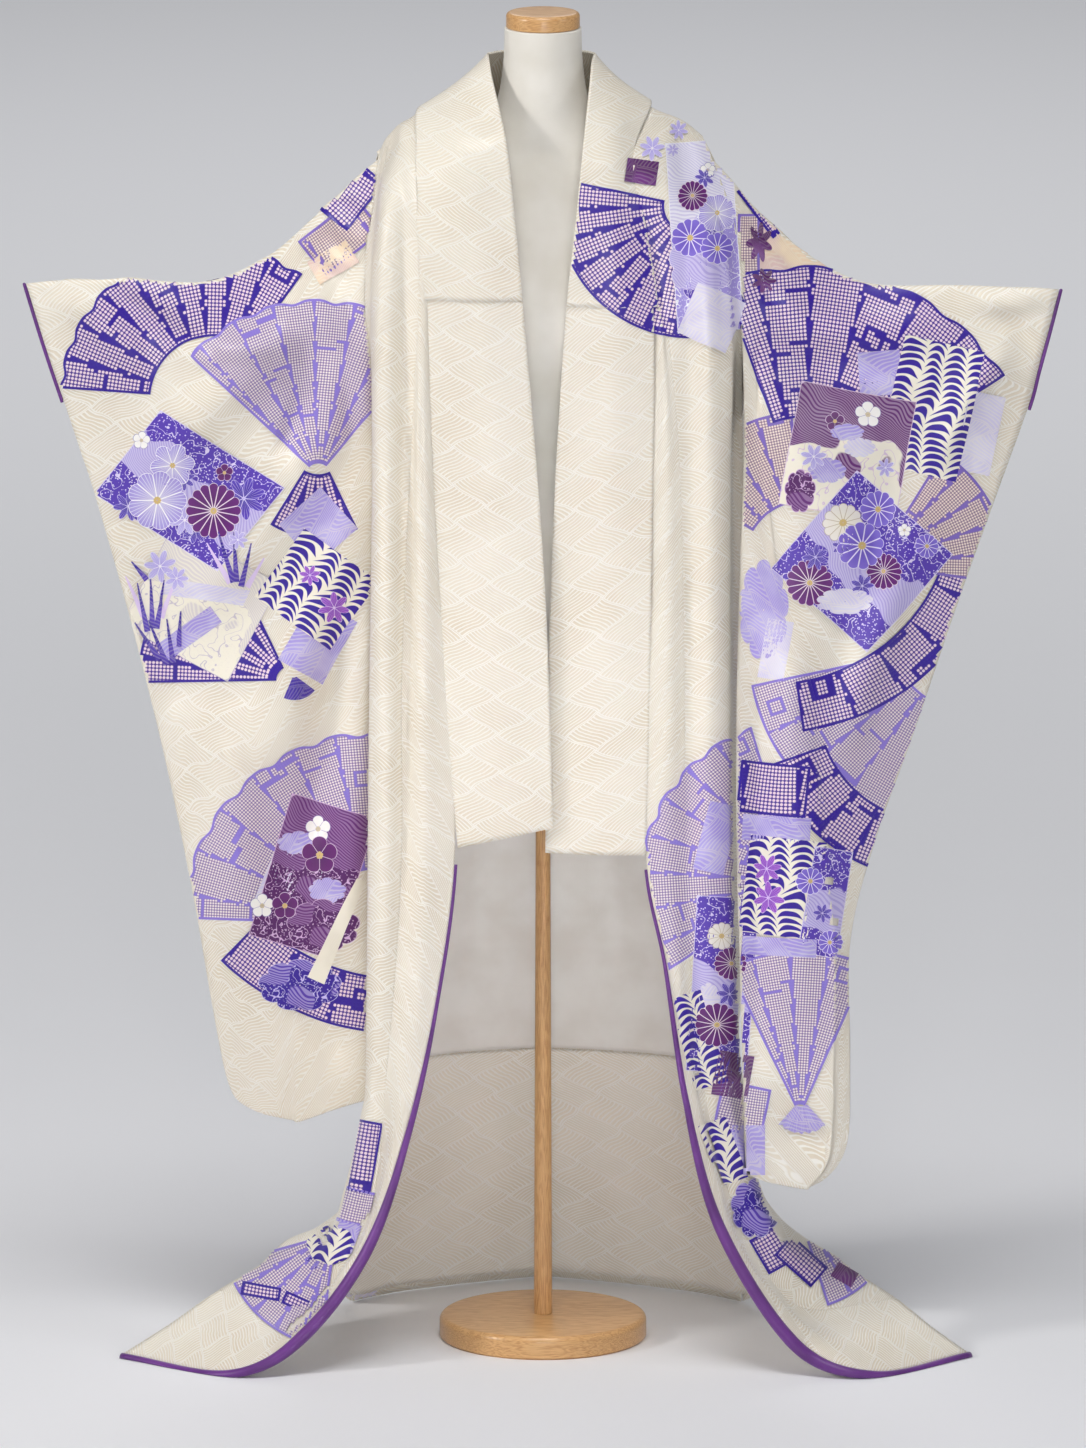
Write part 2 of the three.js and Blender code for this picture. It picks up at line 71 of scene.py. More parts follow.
# ------------------------------------------------------------------ tables, in millimetres
# The front of each half, hem first: front edge, okumi seam, outer fold, side.
FRONT_LEFT = (
    ((-545, -118, 5), (-425, -35, 68), (-318, 62, 108), (-252, 178, 2)),
    ((-404, -214, 6), (-313, -112, 64), (-262, -15, 160), (-240, 110, 185)),
    ((-314, -200, 54), (-258, -122, 130), (-240, -50, 235), (-226, 95, 275)),
    ((-236, -175, 156), (-222, -122, 225), (-230, -75, 310), (-216, 70, 355)),
    ((-183, -152, 294), (-205, -120, 345), (-228, -88, 400), (-210, 45, 440)),
    ((-141, -136, 470), (-192, -122, 490), (-227, -95, 520), (-206, 20, 545)),
    ((-114, -124, 679), (-182, -122, 685), (-225, -100, 700), (-205, 5, 710)),
    ((-127, -122, 900), (-182, -121, 900), (-222, -100, 905), (-205, 0, 905)),
    ((-143, -120, 1168), (-171, -119, 1168), (-215, -98, 1160), (-207, -5, 1150)),
    ((-149, -115, 1395), (-159, -114, 1392), (-214, -95, 1365), (-226, -64, 1345)),
    ((-157, -102, 1500), (-160, -102, 1499), (-210, -80, 1465), (-228, -50, 1440)),
    ((-158, -85, 1560), (-160, -84, 1559), (-204, -56, 1520), (-222, -34, 1500)),
    ((-156, -45, 1606), (-158, -45, 1605), (-196, -26, 1562), (-217, -16, 1545)),
    ((-150, 0, 1626), (-152, 0, 1625), (-186, 0, 1598), (-212, 0, 1572)),
)
FRONT_RIGHT = (
    ((552, -112, 5), (462, -40, 58), (362, 45, 104), (262, 176, 2)),
    ((426, -219, 6), (340, -115, 64), (300, -20, 165), (262, 110, 185)),
    ((325, -202, 50), (284, -125, 130), (280, -50, 235), (254, 95, 275)),
    ((235, -175, 190), (236, -125, 240), (268, -72, 320), (248, 70, 355)),
    ((190, -155, 345), (206, -122, 370), (255, -80, 415), (258, 45, 440)),
    ((160, -138, 530), (190, -123, 530), (248, -84, 540), (264, 15, 545)),
    ((134, -122, 668), (183, -122, 685), (246, -86, 700), (268, 0, 710)),
    ((137, -121, 900), (182, -121, 900), (245, -86, 905), (268, -5, 905)),
    ((141, -119, 1168), (176, -119, 1168), (244, -86, 1160), (264, -8, 1150)),
    ((142, -114, 1374), (158, -113, 1372), (236, -92, 1365), (260, -72, 1355)),
    ((128, -104, 1480), (132, -104, 1479), (222, -80, 1470), (255, -56, 1450)),
    ((111, -90, 1566), (115, -89, 1565), (192, -58, 1530), (240, -36, 1508)),
    ((120, -45, 1606), (123, -45, 1605), (178, -26, 1580), (221, -16, 1556)),
    ((130, 0, 1632), (133, 0, 1631), (172, 0, 1610), (205, 0, 1588)),
)
# The back of each half: side, inner point, how round the section is.
BACK_LEFT = (
    ((-252, 178, 2), (-1, 316, 2), 0.25),
    ((-240, 110, 185), (-1, 288, 150), 0.45),
    ((-226, 95, 275), (-1, 262, 255), 0.6),
    ((-216, 70, 355), (-1, 236, 350), 0.75),
    ((-210, 45, 440), (-1, 212, 440), 0.85),
    ((-206, 20, 545), (-1, 186, 545), 0.9),
    ((-205, 5, 710), (-1, 156, 710), 0.95),
    ((-205, 0, 905), (-1, 136, 905), 1),
    ((-207, -5, 1150), (-1, 126, 1150), 1),
    ((-224, 64, 1345), (-1, 124, 1370), 0.8),
    ((-228, 50, 1440), (-1, 116, 1490), 0.6),
    ((-222, 34, 1500), (-1, 101, 1588), 0.35),
    ((-217, 16, 1545), (-85, 80, 1606), 0.1),
    ((-212, 0, 1572), (-150, 0, 1626), 0),
)
BACK_RIGHT = (
    ((262, 176, 2), (1, 316, 2), 0.25),
    ((262, 110, 185), (1, 288, 150), 0.45),
    ((254, 95, 275), (1, 262, 255), 0.6),
    ((248, 70, 355), (1, 236, 350), 0.75),
    ((258, 45, 440), (1, 212, 440), 0.85),
    ((264, 15, 545), (1, 186, 545), 0.9),
    ((268, 0, 710), (1, 156, 710), 0.95),
    ((268, -5, 905), (1, 136, 905), 1),
    ((264, -8, 1150), (1, 126, 1150), 1),
    ((255, 66, 1355), (1, 124, 1370), 0.8),
    ((252, 52, 1450), (1, 116, 1490), 0.6),
    ((238, 36, 1508), (1, 101, 1588), 0.35),
    ((221, 16, 1556), (80, 80, 1606), 0.1),
    ((205, 0, 1588), (130, 0, 1632), 0),
)
# The sleeves, top fold first: inner, crease, outer point, bag depths, sag.
SLEEVE_LEFT = (
    ((-209, 0, 1568), (-318, -2, 1461), (-666, -6, 1398), (0, 0, 0), 1),
    ((-218, -29, 1500), (-318, -24, 1395), (-648, -13, 1338), (58, 46, 24), 0.9),
    ((-224, -45, 1440), (-318, -30, 1325), (-633, -13, 1290), (90, 56, 25), 0.7),
    ((-228.5, -63, 1345), (-318, -32, 1230), (-618, -8, 1243), (126, 56, 14), 0.4),
    ((-224, -47, 1275), (-318, -26, 1170), (-598, -6, 1180), (96, 46, 3), 0.3),
    ((-224, -28, 1200), (-318, -16, 1100), (-578, -4, 1116), (64, 38, 3), 0.2),
    ((-219, 12, 1020), (-318, 4, 960), (-536, 2, 960), (42, 30, 3), 0),
    ((-218, 36, 820), (-318, 20, 780), (-492, 8, 775), (32, 26, 3), 0),
    ((-218, 50, 620), (-318, 32, 590), (-456, 16, 590), (26, 24, 3), 0),
    ((-223, 58, 450), (-318, 42, 430), (-430, 26, 430), (22, 20, 3), 0),
    ((-231, 60, 340), (-318, 48, 310), (-412, 34, 335), (14, 14, 3), 0),
    ((-234, 62, 302), (-318, 50, 275), (-392, 38, 293), (3, 3, 3), 0),
)
SLEEVE_RIGHT = (
    ((203, 0, 1580), (290, -2, 1477), (665, -6, 1390), (0, 0, 0), 1),
    ((236, -31, 1508), (296, -42, 1415), (651, -14, 1335), (62, 66, 24), 0.9),
    ((251, -51, 1450), (292, -68, 1355), (638, -14, 1285), (98, 92, 25), 0.7),
    ((263, -74, 1352), (286, -88, 1300), (625, -8, 1233), (134, 84, 14), 0.4),
    ((267, -90, 1200), (292, -98, 1150), (583, -6, 1112), (36, 44, 3), 0.2),
    ((262, -96, 1040), (312, -100, 1000), (537, -8, 980), (24, 30, 3), 0),
    ((258, -100, 860), (334, -102, 840), (480, -16, 808), (18, 24, 3), 0),
    ((258, -102, 690), (354, -103, 680), (432, -34, 675), (16, 20, 3), 0),
    ((262, -103, 540), (372, -104, 550), (398, -70, 545), (16, 16, 3), 0),
    ((266, -108, 400), (372, -108, 400), (398, -92, 400), (16, 12, 3), 0),
    ((270, -120, 270), (368, -112, 270), (396, -100, 290), (8, 8, 3), 0),
    ((273, -124, 238), (340, -116, 224), (377, -104, 240), (3, 3, 3), 0),
)
SAG_LEFT = (0, 0, 0, 24, 40, 16, 0)
SAG_RIGHT = (0, 0, 0, 30, 50, 24, 0)
# The collar, left end to right end: seam, middle, free edge.
COLLAR = (
    ((-110, -126, 680), (-50, -136, 694), (13, -134, 708)),
    ((-126, -126, 860), (-62, -139, 860), (9, -134, 862)),
    ((-134, -125, 1010), (-68, -139, 1010), (3, -134, 1010)),
    ((-143, -124, 1168), (-76, -138, 1168), (-7, -132, 1168)),
    ((-149, -120, 1395), (-90, -132, 1395), (-26, -126, 1395)),
    ((-156, -106, 1500), (-100, -122, 1500), (-36, -117, 1500)),
    ((-157, -72, 1588), (-106, -92, 1592), (-47, -92, 1600)),
    ((-152, 0, 1631), (-110, -14, 1658), (-68, -24, 1686)),
    ((-90, 80, 1611), (-78, 62, 1652), (-62, 44, 1692)),
    ((0, 102, 1594), (0, 93, 1642), (0, 80, 1688)),
    ((90, 80, 1611), (76, 62, 1652), (60, 44, 1692)),
    ((134, 0, 1637), (98, -14, 1660), (62, -24, 1686)),
    ((113, -76, 1580), (88, -90, 1590), (52, -92, 1600)),
    ((129, -108, 1480), (90, -120, 1490), (42, -117, 1500)),
    ((142, -118, 1374), (86, -128, 1374), (29, -122, 1374)),
    ((141, -123, 1168), (78, -131, 1168), (16, -122, 1168)),
    ((139, -125, 1010), (74, -131, 1010), (10, -120, 1010)),
    ((137, -125, 860), (72, -130, 860), (5, -120, 860)),
    ((133, -126, 670), (68, -129, 671), (3, -120, 672)),
)
OVER_COLLAR_ENDS = (4.02, 13.9)  # net places along the collar
OVER_EDGE = -0.11  # net place of the over-collar's outer edge, across the collar
OVER_LIFT = 1.9 * MM  # how far the over-collar lies over it
OVER_THICK = 1.1 * MM
EDGE_ROLL = (5, 6.5, 9.5, 8, 4.5, 2.5, 2)  # roll thickness, row by row from the tip
SIDE = 6  # net place of the side seam
CENTRE_BACK = 10  # net place of the seam down the middle of the back
CUFF = 6  # net place of the cuff, across a sleeve
STRIP_WIDE = 4  # net places across one body strip
FLOOR_CLEAR = 1.4 * MM  # the middle of the cloth stays this far above the floor
CENTRE_CLEAR = 0.9 * MM  # and this far from the plane between the two halves

# How the cloth stands between the points of the tables.
PLEAT_WIDE = 60  # an okumi at least this wide has its full pleat
PLEAT_OUT = -9
RIDGE_SHARE = 0.55  # where the ridge runs between the okumi seam and the fold
RIDGE_OUT = (4, -11)
TUCK_IN = 5
BACK_SHARES = (1, 0.75, 0.5, 0.25, 0)  # of the way from the inner point to the side
SLEEVE_SHARES = (0.12, 0.33, 0.66)  # of the way from the crease to the cuff

# The dress form: height, half width, half depth and middle Y of each section.
FORM = (
    (800, 150, 104, 8),
    (840, 158, 108, 8),
    (900, 162, 110, 8),
    (980, 152, 104, 6),
    (1060, 130, 92, 2),
    (1120, 120, 86, 0),
    (1200, 128, 92, 0),
    (1290, 150, 104, -2),
    (1350, 160, 106, -2),
    (1430, 166, 96, 2),
    (1500, 162, 80, 6),
    (1545, 142, 70, 8),
    (1575, 112, 62, 8),
    (1600, 82, 58, 6),
    (1622, 66, 55, 4),
    (1650, 56, 53, 2),
    (1690, 51, 50.5, 1),
    (1712, 50, 50, 0),
    (1732, 49.5, 49.5, 0),
)


# ------------------------------------------------------------------ smooth surfaces
def through(points: Net, places: Net) -> Net:
    """Runs a uniform Catmull-Rom curve through points.

    Args:
        points: Array whose first axis counts the points.
        places: Places along that axis, 0 at the first point.

    Returns:
        The curve's points, one for each place.
    """
    last = len(points) - 1
    cell = np.clip(np.floor(places).astype(int), 0, last - 1)
    f = (places - cell).reshape(-1, *([1] * (points.ndim - 1)))
    ends = np.concatenate([2 * points[:1] - points[1:2], points, 2 * points[-1:] - points[-2:-1]])
    p, q, r, s = (ends[cell + k] for k in range(4))
    return (
        (-0.5 * f**3 + f**2 - 0.5 * f) * p
        + (1.5 * f**3 - 2.5 * f**2 + 1) * q
        + (-1.5 * f**3 + 2 * f**2 + 0.5 * f) * r
        + (0.5 * f**3 - 0.5 * f**2) * s
    )


def lerp(a: Net, b: Net, t: float) -> Net:
    """Returns the point a share t of the way from a to b."""
    return a + (b - a) * t


def front_row(points: tuple) -> Net:
    """Fills out one front section.

    Args:
        points: Its front edge, okumi seam, outer fold and side.

    Returns:
        Edge, pleat, okumi seam, ridge, fold, tuck and side.
    """
    edge, seam, fold, side = (np.array(p, float) for p in points)
    sign = math.copysign(1, side[0])
    if side[1] == 0 and edge[1] == 0:
        middle = [lerp(edge, seam, 0.5), seam, lerp(seam, fold, 0.5), fold]
        return np.array([edge, *middle, lerp(fold, side, 0.5), side])
    wide = min(float(np.linalg.norm(edge - seam)) / PLEAT_WIDE, 1)
    pleat = lerp(edge, seam, 0.5) + (0, PLEAT_OUT * wide, 0)
    ridge = lerp(seam, fold, RIDGE_SHARE) + (sign * RIDGE_OUT[0], RIDGE_OUT[1], 0)
    tuck = lerp(fold, side, 0.5) + (-sign * TUCK_IN, 0, 0)
    return np.array([edge, pleat, seam, ridge, fold, tuck, side])


def back_row(row: tuple) -> Net:
    """Fills out one back section.

    Args:
        row: Its side, its inner point, and how round it is, from 0 to 1.

    Returns:
        Points from the side to the inner point.
    """
    side, inner, round_share = np.array(row[0], float), np.array(row[1], float), row[2]
    points = []
    for k in BACK_SHARES:
        turn = k * math.pi / 2
        across = k + (math.sin(turn) - k) * round_share
        deep = 1 - k + (max(math.cos(turn), 0) ** 0.6 - (1 - k)) * round_share
        points.append((inner[0] + (side[0] - inner[0]) * across,
                       side[1] + (inner[1] - side[1]) * deep,
                       inner[2] + (side[2] - inner[2]) * k * k))
    return np.array(points)


def sleeve_row(row: tuple, sags: tuple, back: bool) -> Net:
    """Fills out one sleeve section.

    Args:
        row: Its inner edge, crease and cuff, how deep the back layer lies behind each, and
            its share of the sag.
        sags: How far each point hangs down at full sag.
        back: True for the back layer, False for the front layer.

    Returns:
        Points from the inner edge to the cuff.
    """
    a, c, o = (np.array(p, float) for p in row[:3])
    da, dc, do = row[3]
    depth = [da, (da + dc) / 2, dc, *(dc + (do - dc) * k for k in SLEEVE_SHARES), do]
    points = [a, lerp(a, c, 0.5), c, *(lerp(c, o, k) for k in SLEEVE_SHARES), o]
    return np.array([p + (0, depth[k] if back else 0, -sags[k] * row[4])
                     for k, p in enumerate(points)])


@dataclass
class HalfBody:
    """The cut of one half of the garment, from the two tables of its sections."""

    front: tuple
    back: tuple
    fronts: list = field(default_factory=list)  # filled-out sections, hem first
    backs: list = field(default_factory=list)

    def __post_init__(self) -> None:
        """Lays out every row with one point of the neighbour past the side seam."""
        for front, back in zip(self.front, self.back):
            f, b = front_row(front), back_row(back)
            sewn = np.linalg.norm(f[SIDE] - b[0]) < 1
            past_front = b[1] if sewn else 2 * f[SIDE] - f[SIDE - 1]
            past_back = f[SIDE - 1] if sewn else 2 * b[0] - b[1]
            self.fronts.append(np.vstack([f, past_front]) * MM)
            self.backs.append(np.vstack([past_back, b]) * MM)

    def settle(self, points: Net) -> Net:
        """Keeps points off the floor and on their own side of the middle plane.

        Args:
            points: The points, which are changed.

        Returns:
            The same points.
        """
        sign = math.copysign(1, self.front[0][0][0])
        points[..., 2] = np.maximum(points[..., 2], FLOOR_CLEAR)
        points[..., 0] = sign * np.maximum(sign * points[..., 0], CENTRE_CLEAR)
        return points

    def wrap(self, us: Net, vs: Net) -> Net:
        """Lays a net round the half.

        Args:
            us: Places round it, 0 at the front edge and 10 at the centre back.
            vs: Places up it, 0 at the hem.

        Returns:
            The net's points, one row for each v.
        """
        near, far = us[us <= SIDE], us[us > SIDE]
        rows = [np.vstack([through(f, near), through(b, far - SIDE + 1)])
                for f, b in zip(self.fronts, self.backs)]
        return self.settle(through(np.array(rows), vs))

    def strip(self, us: Net, vs: Net) -> Net:
        """Lays a net over the strip of cloth between the okumi seam and the side.

        Args:
            us: Places across it, 0 at the okumi seam.
            vs: Places along it, from the front hem over the shoulder to the back hem.

        Returns:
            The net's points, one row for each v.
        """
        rows = [through(f, us + SIDE - STRIP_WIDE) for f in self.fronts]
        rows += [through(b, STRIP_WIDE - us + 1) for b in reversed(self.backs[:-1])]
        return self.settle(through(np.array(rows), vs))


def sleeve_place(table: tuple, sags: tuple, us: Net, vs: Net) -> Net:
    """Lays a net over a sleeve.

    Args:
        table: The sleeve's sections, top first.
        sags: How far each of a section's points hangs down at full sag.
        us: Places across it, 0 at the inner edge and 6 at the cuff.
        vs: Places along it, from the front bottom over the top fold to the back bottom.

    Returns:
        The net's points, one row for each v.
    """
    front = [sleeve_row(row, sags, False) for row in table]
    back = [sleeve_row(row, sags, True) for row in table]
    rows = [through(r, us) for r in front[::-1] + back[1:]]
    return through(np.array(rows) * MM, vs)


def normals_of(grid: Net) -> Net:
    """Finds which way a cloth faces.

    Args:
        grid: The cloth's points, as (rows, columns, 3).

    Returns:
        The unit normal at each point.
    """
    across = np.gradient(grid, axis=1)
    along = np.gradient(grid, axis=0)
    n = np.cross(across, along)
    return n / np.maximum(np.linalg.norm(n, axis=2, keepdims=True), 1e-12)


def lengths_of(grid: Net, axis: int) -> Net:
    """Measures a cloth along its rows or its columns.

    Args:
        grid: The cloth's points, as (rows, columns, 3).
        axis: 1 to measure along the rows, 0 along the columns.

    Returns:
        How far each point is from the first one, in metres.
    """
    step = np.linalg.norm(np.diff(grid, axis=axis), axis=2)
    start = np.zeros_like(np.take(step, [0], axis=axis))
    return np.concatenate([start, np.cumsum(step, axis=axis)], axis=axis)


def resampled(line: Net, places: Net, wanted: Net) -> Net:
    """Takes other points along a line.

    Args:
        line: The line's points.
        places: Where each of them is along it.
        wanted: The new places.

    Returns:
        The points at the new places.
    """
    return np.stack([np.interp(wanted, places, line[:, axis]) for axis in range(3)], 1)


def frames_of(line: Net, toward: Net) -> tuple[Net, Net]:
    """Finds the directions in which a tube round a line gets its width and height.

    Args:
        line: The line's points.
        toward: Rough sideways directions, one for each point.

    Returns:
        Unit vectors to the side and up, square to the line.
    """
    tangent = np.gradient(line, axis=0)
    tangent /= np.linalg.norm(tangent, axis=1, keepdims=True)
    side = toward - tangent * np.sum(toward * tangent, axis=1, keepdims=True)
    side /= np.linalg.norm(side, axis=1, keepdims=True)
    return side, np.cross(tangent, side)


# ------------------------------------------------------------------ meshes
def read(items: bpy.types.bpy_prop_collection, key: str, width: int = 1,
         kind: type = float) -> Net:
    """Reads one property of every item of a mesh.

    Args:
        items: Its vertices, loops, triangles or UV places.
        key: Name of the property.
        width: How many numbers it has.
        kind: Type of the numbers.

    Returns:
        The numbers, a row for each item, or all in one row where the width is 1.
    """
    flat = np.empty(len(items) * width, kind)
    items.foreach_get(key, flat)
    return flat.reshape(-1, width) if width > 1 else flat


def grid_mesh(name: str, grid: Net, uv: Net | None = None) -> bpy.types.Mesh:
    """Makes a smooth mesh of a (rows, columns, 3) grid, with a UV map in metres.

    Args:
        name: Name of the mesh.
        grid: Point of each row and column.
        uv: Two UV values for each point, or None for lengths along the grid.

    Returns:
        The new mesh.
    """
    rows, columns = grid.shape[:2]
    if uv is None:
        across, along = lengths_of(grid, 1), lengths_of(grid, 0)
        uv = np.dstack([across - across[:, -1:] / 2, along - along[-1:] / 2])
    bm = bmesh.new()
    bmesh.ops.create_grid(bm, x_segments=columns - 1, y_segments=rows - 1, size=1)
    mesh = bpy.data.meshes.new(name)
    bm.to_mesh(mesh)
    bm.free()
    flat = read(mesh.vertices, "co", 3)
    column = np.rint((flat[:, 0] + 1) / 2 * (columns - 1)).astype(int)
    row = np.rint((flat[:, 1] + 1) / 2 * (rows - 1)).astype(int)
    mesh.vertices.foreach_set("co", grid[row, column].ravel())
    corner = read(mesh.loops, "vertex_index", kind=int)
    layer = mesh.uv_layers.new(name="Cloth")
    layer.data.foreach_set("uv", uv[row, column][corner].ravel())
    mesh.polygons.foreach_set("use_smooth", [True] * len(mesh.polygons))
    mesh.update()
    return mesh


def placed(mesh: bpy.types.Mesh, finish: bpy.types.Material) -> bpy.types.Object:
    """Puts a mesh in the scene.

    Args:
        mesh: The mesh.
        finish: Its one material.

    Returns:
        The new object.
    """
    piece = bpy.data.objects.new(mesh.name, mesh)
    bpy.context.scene.collection.objects.link(piece)
    mesh.materials.clear()
    mesh.materials.append(finish)
    return piece


def thicken(piece: bpy.types.Object, thick: float) -> None:
    """Gives a sheet its thickness, half to each side.

    Args:
        piece: The sheet.
        thick: How thick it gets, in metres.
    """
    wall = piece.modifiers.new("thickness", "SOLIDIFY")
    wall.thickness = thick
    wall.offset = 0.0


def tube_mesh(name: str, grid: Net) -> bpy.types.Mesh:
    """Makes a closed mesh of rings that start and end at one point.

    Args:
        name: Name of the mesh.
        grid: Rings of points, the last column on the first.

    Returns:
        The closed mesh, with its faces pointing out.
    """
    first, last = (np.broadcast_to(ring[:-1].mean(axis=0), ring.shape) for ring in
                   (grid[0], grid[-1]))
    mesh = grid_mesh(name, np.concatenate([first[None], grid, last[None]]))
    bm = bmesh.new()
    bm.from_mesh(mesh)
    bmesh.ops.remove_doubles(bm, verts=bm.verts, dist=1e-6)
    bmesh.ops.recalc_face_normals(bm, faces=bm.faces)
    bm.to_mesh(mesh)
    bm.free()
    return mesh


def turned_mesh(name: str, profile: tuple, sides: int) -> bpy.types.Mesh:
    """Spins a profile round the Z axis.

    Args:
        name: Name of the mesh.
        profile: Pairs of radius and height, in millimetres.
        sides: How many steps the turn has.

    Returns:
        The closed mesh, with its faces pointing out.
    """
    bm = bmesh.new()
    points = [bm.verts.new((radius * MM, 0, height * MM)) for radius, height in profile]
    edges = [bm.edges.new(pair) for pair in zip(points, points[1:])]
    bmesh.ops.spin(bm, geom=points + edges, axis=(0, 0, 1), cent=(0, 0, 0),
                   angle=math.tau, steps=sides, use_merge=True, use_duplicate=False)
    bmesh.ops.remove_doubles(bm, verts=bm.verts, dist=1e-6)
    bmesh.ops.recalc_face_normals(bm, faces=bm.faces)
    mesh = bpy.data.meshes.new(name)
    bm.to_mesh(mesh)
    bm.free()
    mesh.polygons.foreach_set("use_smooth", [True] * len(mesh.polygons))
    mesh.uv_layers.new(name="Cloth")
    return mesh


def rounded(radius: float, low: float, high: float, foot: float, top: float) -> tuple:
    """Draws the profile of a turned round block.

    Args:
        radius: Its radius.
        low: Height of its bottom.
        high: Height of its top.
        foot: Size of the small bevel at its foot.
        top: Radius of its rounded upper edge.

    Returns:
        Pairs of radius and height.
    """
    profile = [(0, low), (radius - foot, low), (radius, low + foot)]
    for k in range(9):
        turn = math.pi / 2 * k / 8
        profile.append((radius - top * (1 - math.cos(turn)), high - top * (1 - math.sin(turn))))
    return (*profile, (radius * 0.6, high), (0, high))


def sleeve_uv(grid: Net) -> Net:
    """Lays a sleeve's cloth flat.

    Args:
        grid: The draped cloth.

    Returns:
        Two lengths for each point, the second measured from the top fold.
    """
    across, along = lengths_of(grid, 1), lengths_of(grid, 0)
    middle = grid.shape[0] // 2
    return np.dstack([across, along - along[middle : middle + 1]])


# ------------------------------------------------------------------ folds and creases
SIDEWAYS = 0.35  # cloth that faces further away than this keeps out of a crease


@dataclass(frozen=True)
class Crease:
    """A soft ridge or trough in cloth, drawn on the upright XZ plane in millimetres."""

    points: tuple[tuple[float, float], ...]
    width: float
    height: float  # above 0 stands out of the cloth, below 0 goes in
    front: bool = True
    ends: float = 0.02  # share of its length at each end that no longer fades
    fade: float = 0.6  # how soon it fades toward its ends

    def lift(self, grid: Net) -> Net:
        """Presses the crease into a cloth.

        Args:
            grid: The smooth cloth.

        Returns:
            How far each point moves out, in metres.
        """
        at = grid[..., [0, 2]] * 1000
        line = np.array(self.points, float)
        nearest = np.full(at.shape[:2], 1e9)
        place = np.zeros(at.shape[:2])
        spans = len(line) - 1
        for k in range(spans):
            a, d = line[k], line[k + 1] - line[k]
            t = np.clip(((at - a) @ d) / (d @ d), 0, 1)
            gap = np.linalg.norm(at - a - t[..., None] * d, axis=2)
            closer = gap < nearest
            nearest = np.where(closer, gap, nearest)
            place = np.where(closer, (k + t) / spans, place)
        fade = np.sin(np.pi * np.clip(place, self.ends, 1 - self.ends)) ** self.fade
        return self.height * MM * fade * np.exp(-((nearest / self.width) ** 2))


def crease_table(front: tuple, back: tuple = ()) -> tuple[Crease, ...]:
    """Reads a table of creases.

    Args:
        front: Rows of the front: width, height, then X and Z of each point in turn.
        back: Rows of the back.

    Returns:
        The creases, the front's first.
    """
    return tuple(Crease(tuple(zip(row[2::2], row[3::2])), row[0], row[1], rows is front)
                 for rows in (front, back) for row in rows)


def creased(grid: Net, out: Net, creases: tuple[Crease, ...]) -> Net:
    """Moves a cloth grid out and in along its normals by its creases.

    Args:
        grid: The smooth cloth.
        out: Unit vectors that point out of the garment.
        creases: The creases to press in.

    Returns:
        The creased cloth.
    """
    total = np.zeros(grid.shape[:2])
    for crease in creases:
        side = 1 if crease.front else -1
        facing = out[..., 1] * side < SIDEWAYS
        total += crease.lift(grid) * facing
    return grid + out * total[..., None]


# ------------------------------------------------------------------ the garment
class Half(Enum):
    """One half of the garment, by where it lies along X."""

    LEFT = "left"
    RIGHT = "right"

    @property
    def sign(self) -> int:
        """Returns the sign of X on this half."""
        return -1 if self is Half.LEFT else 1


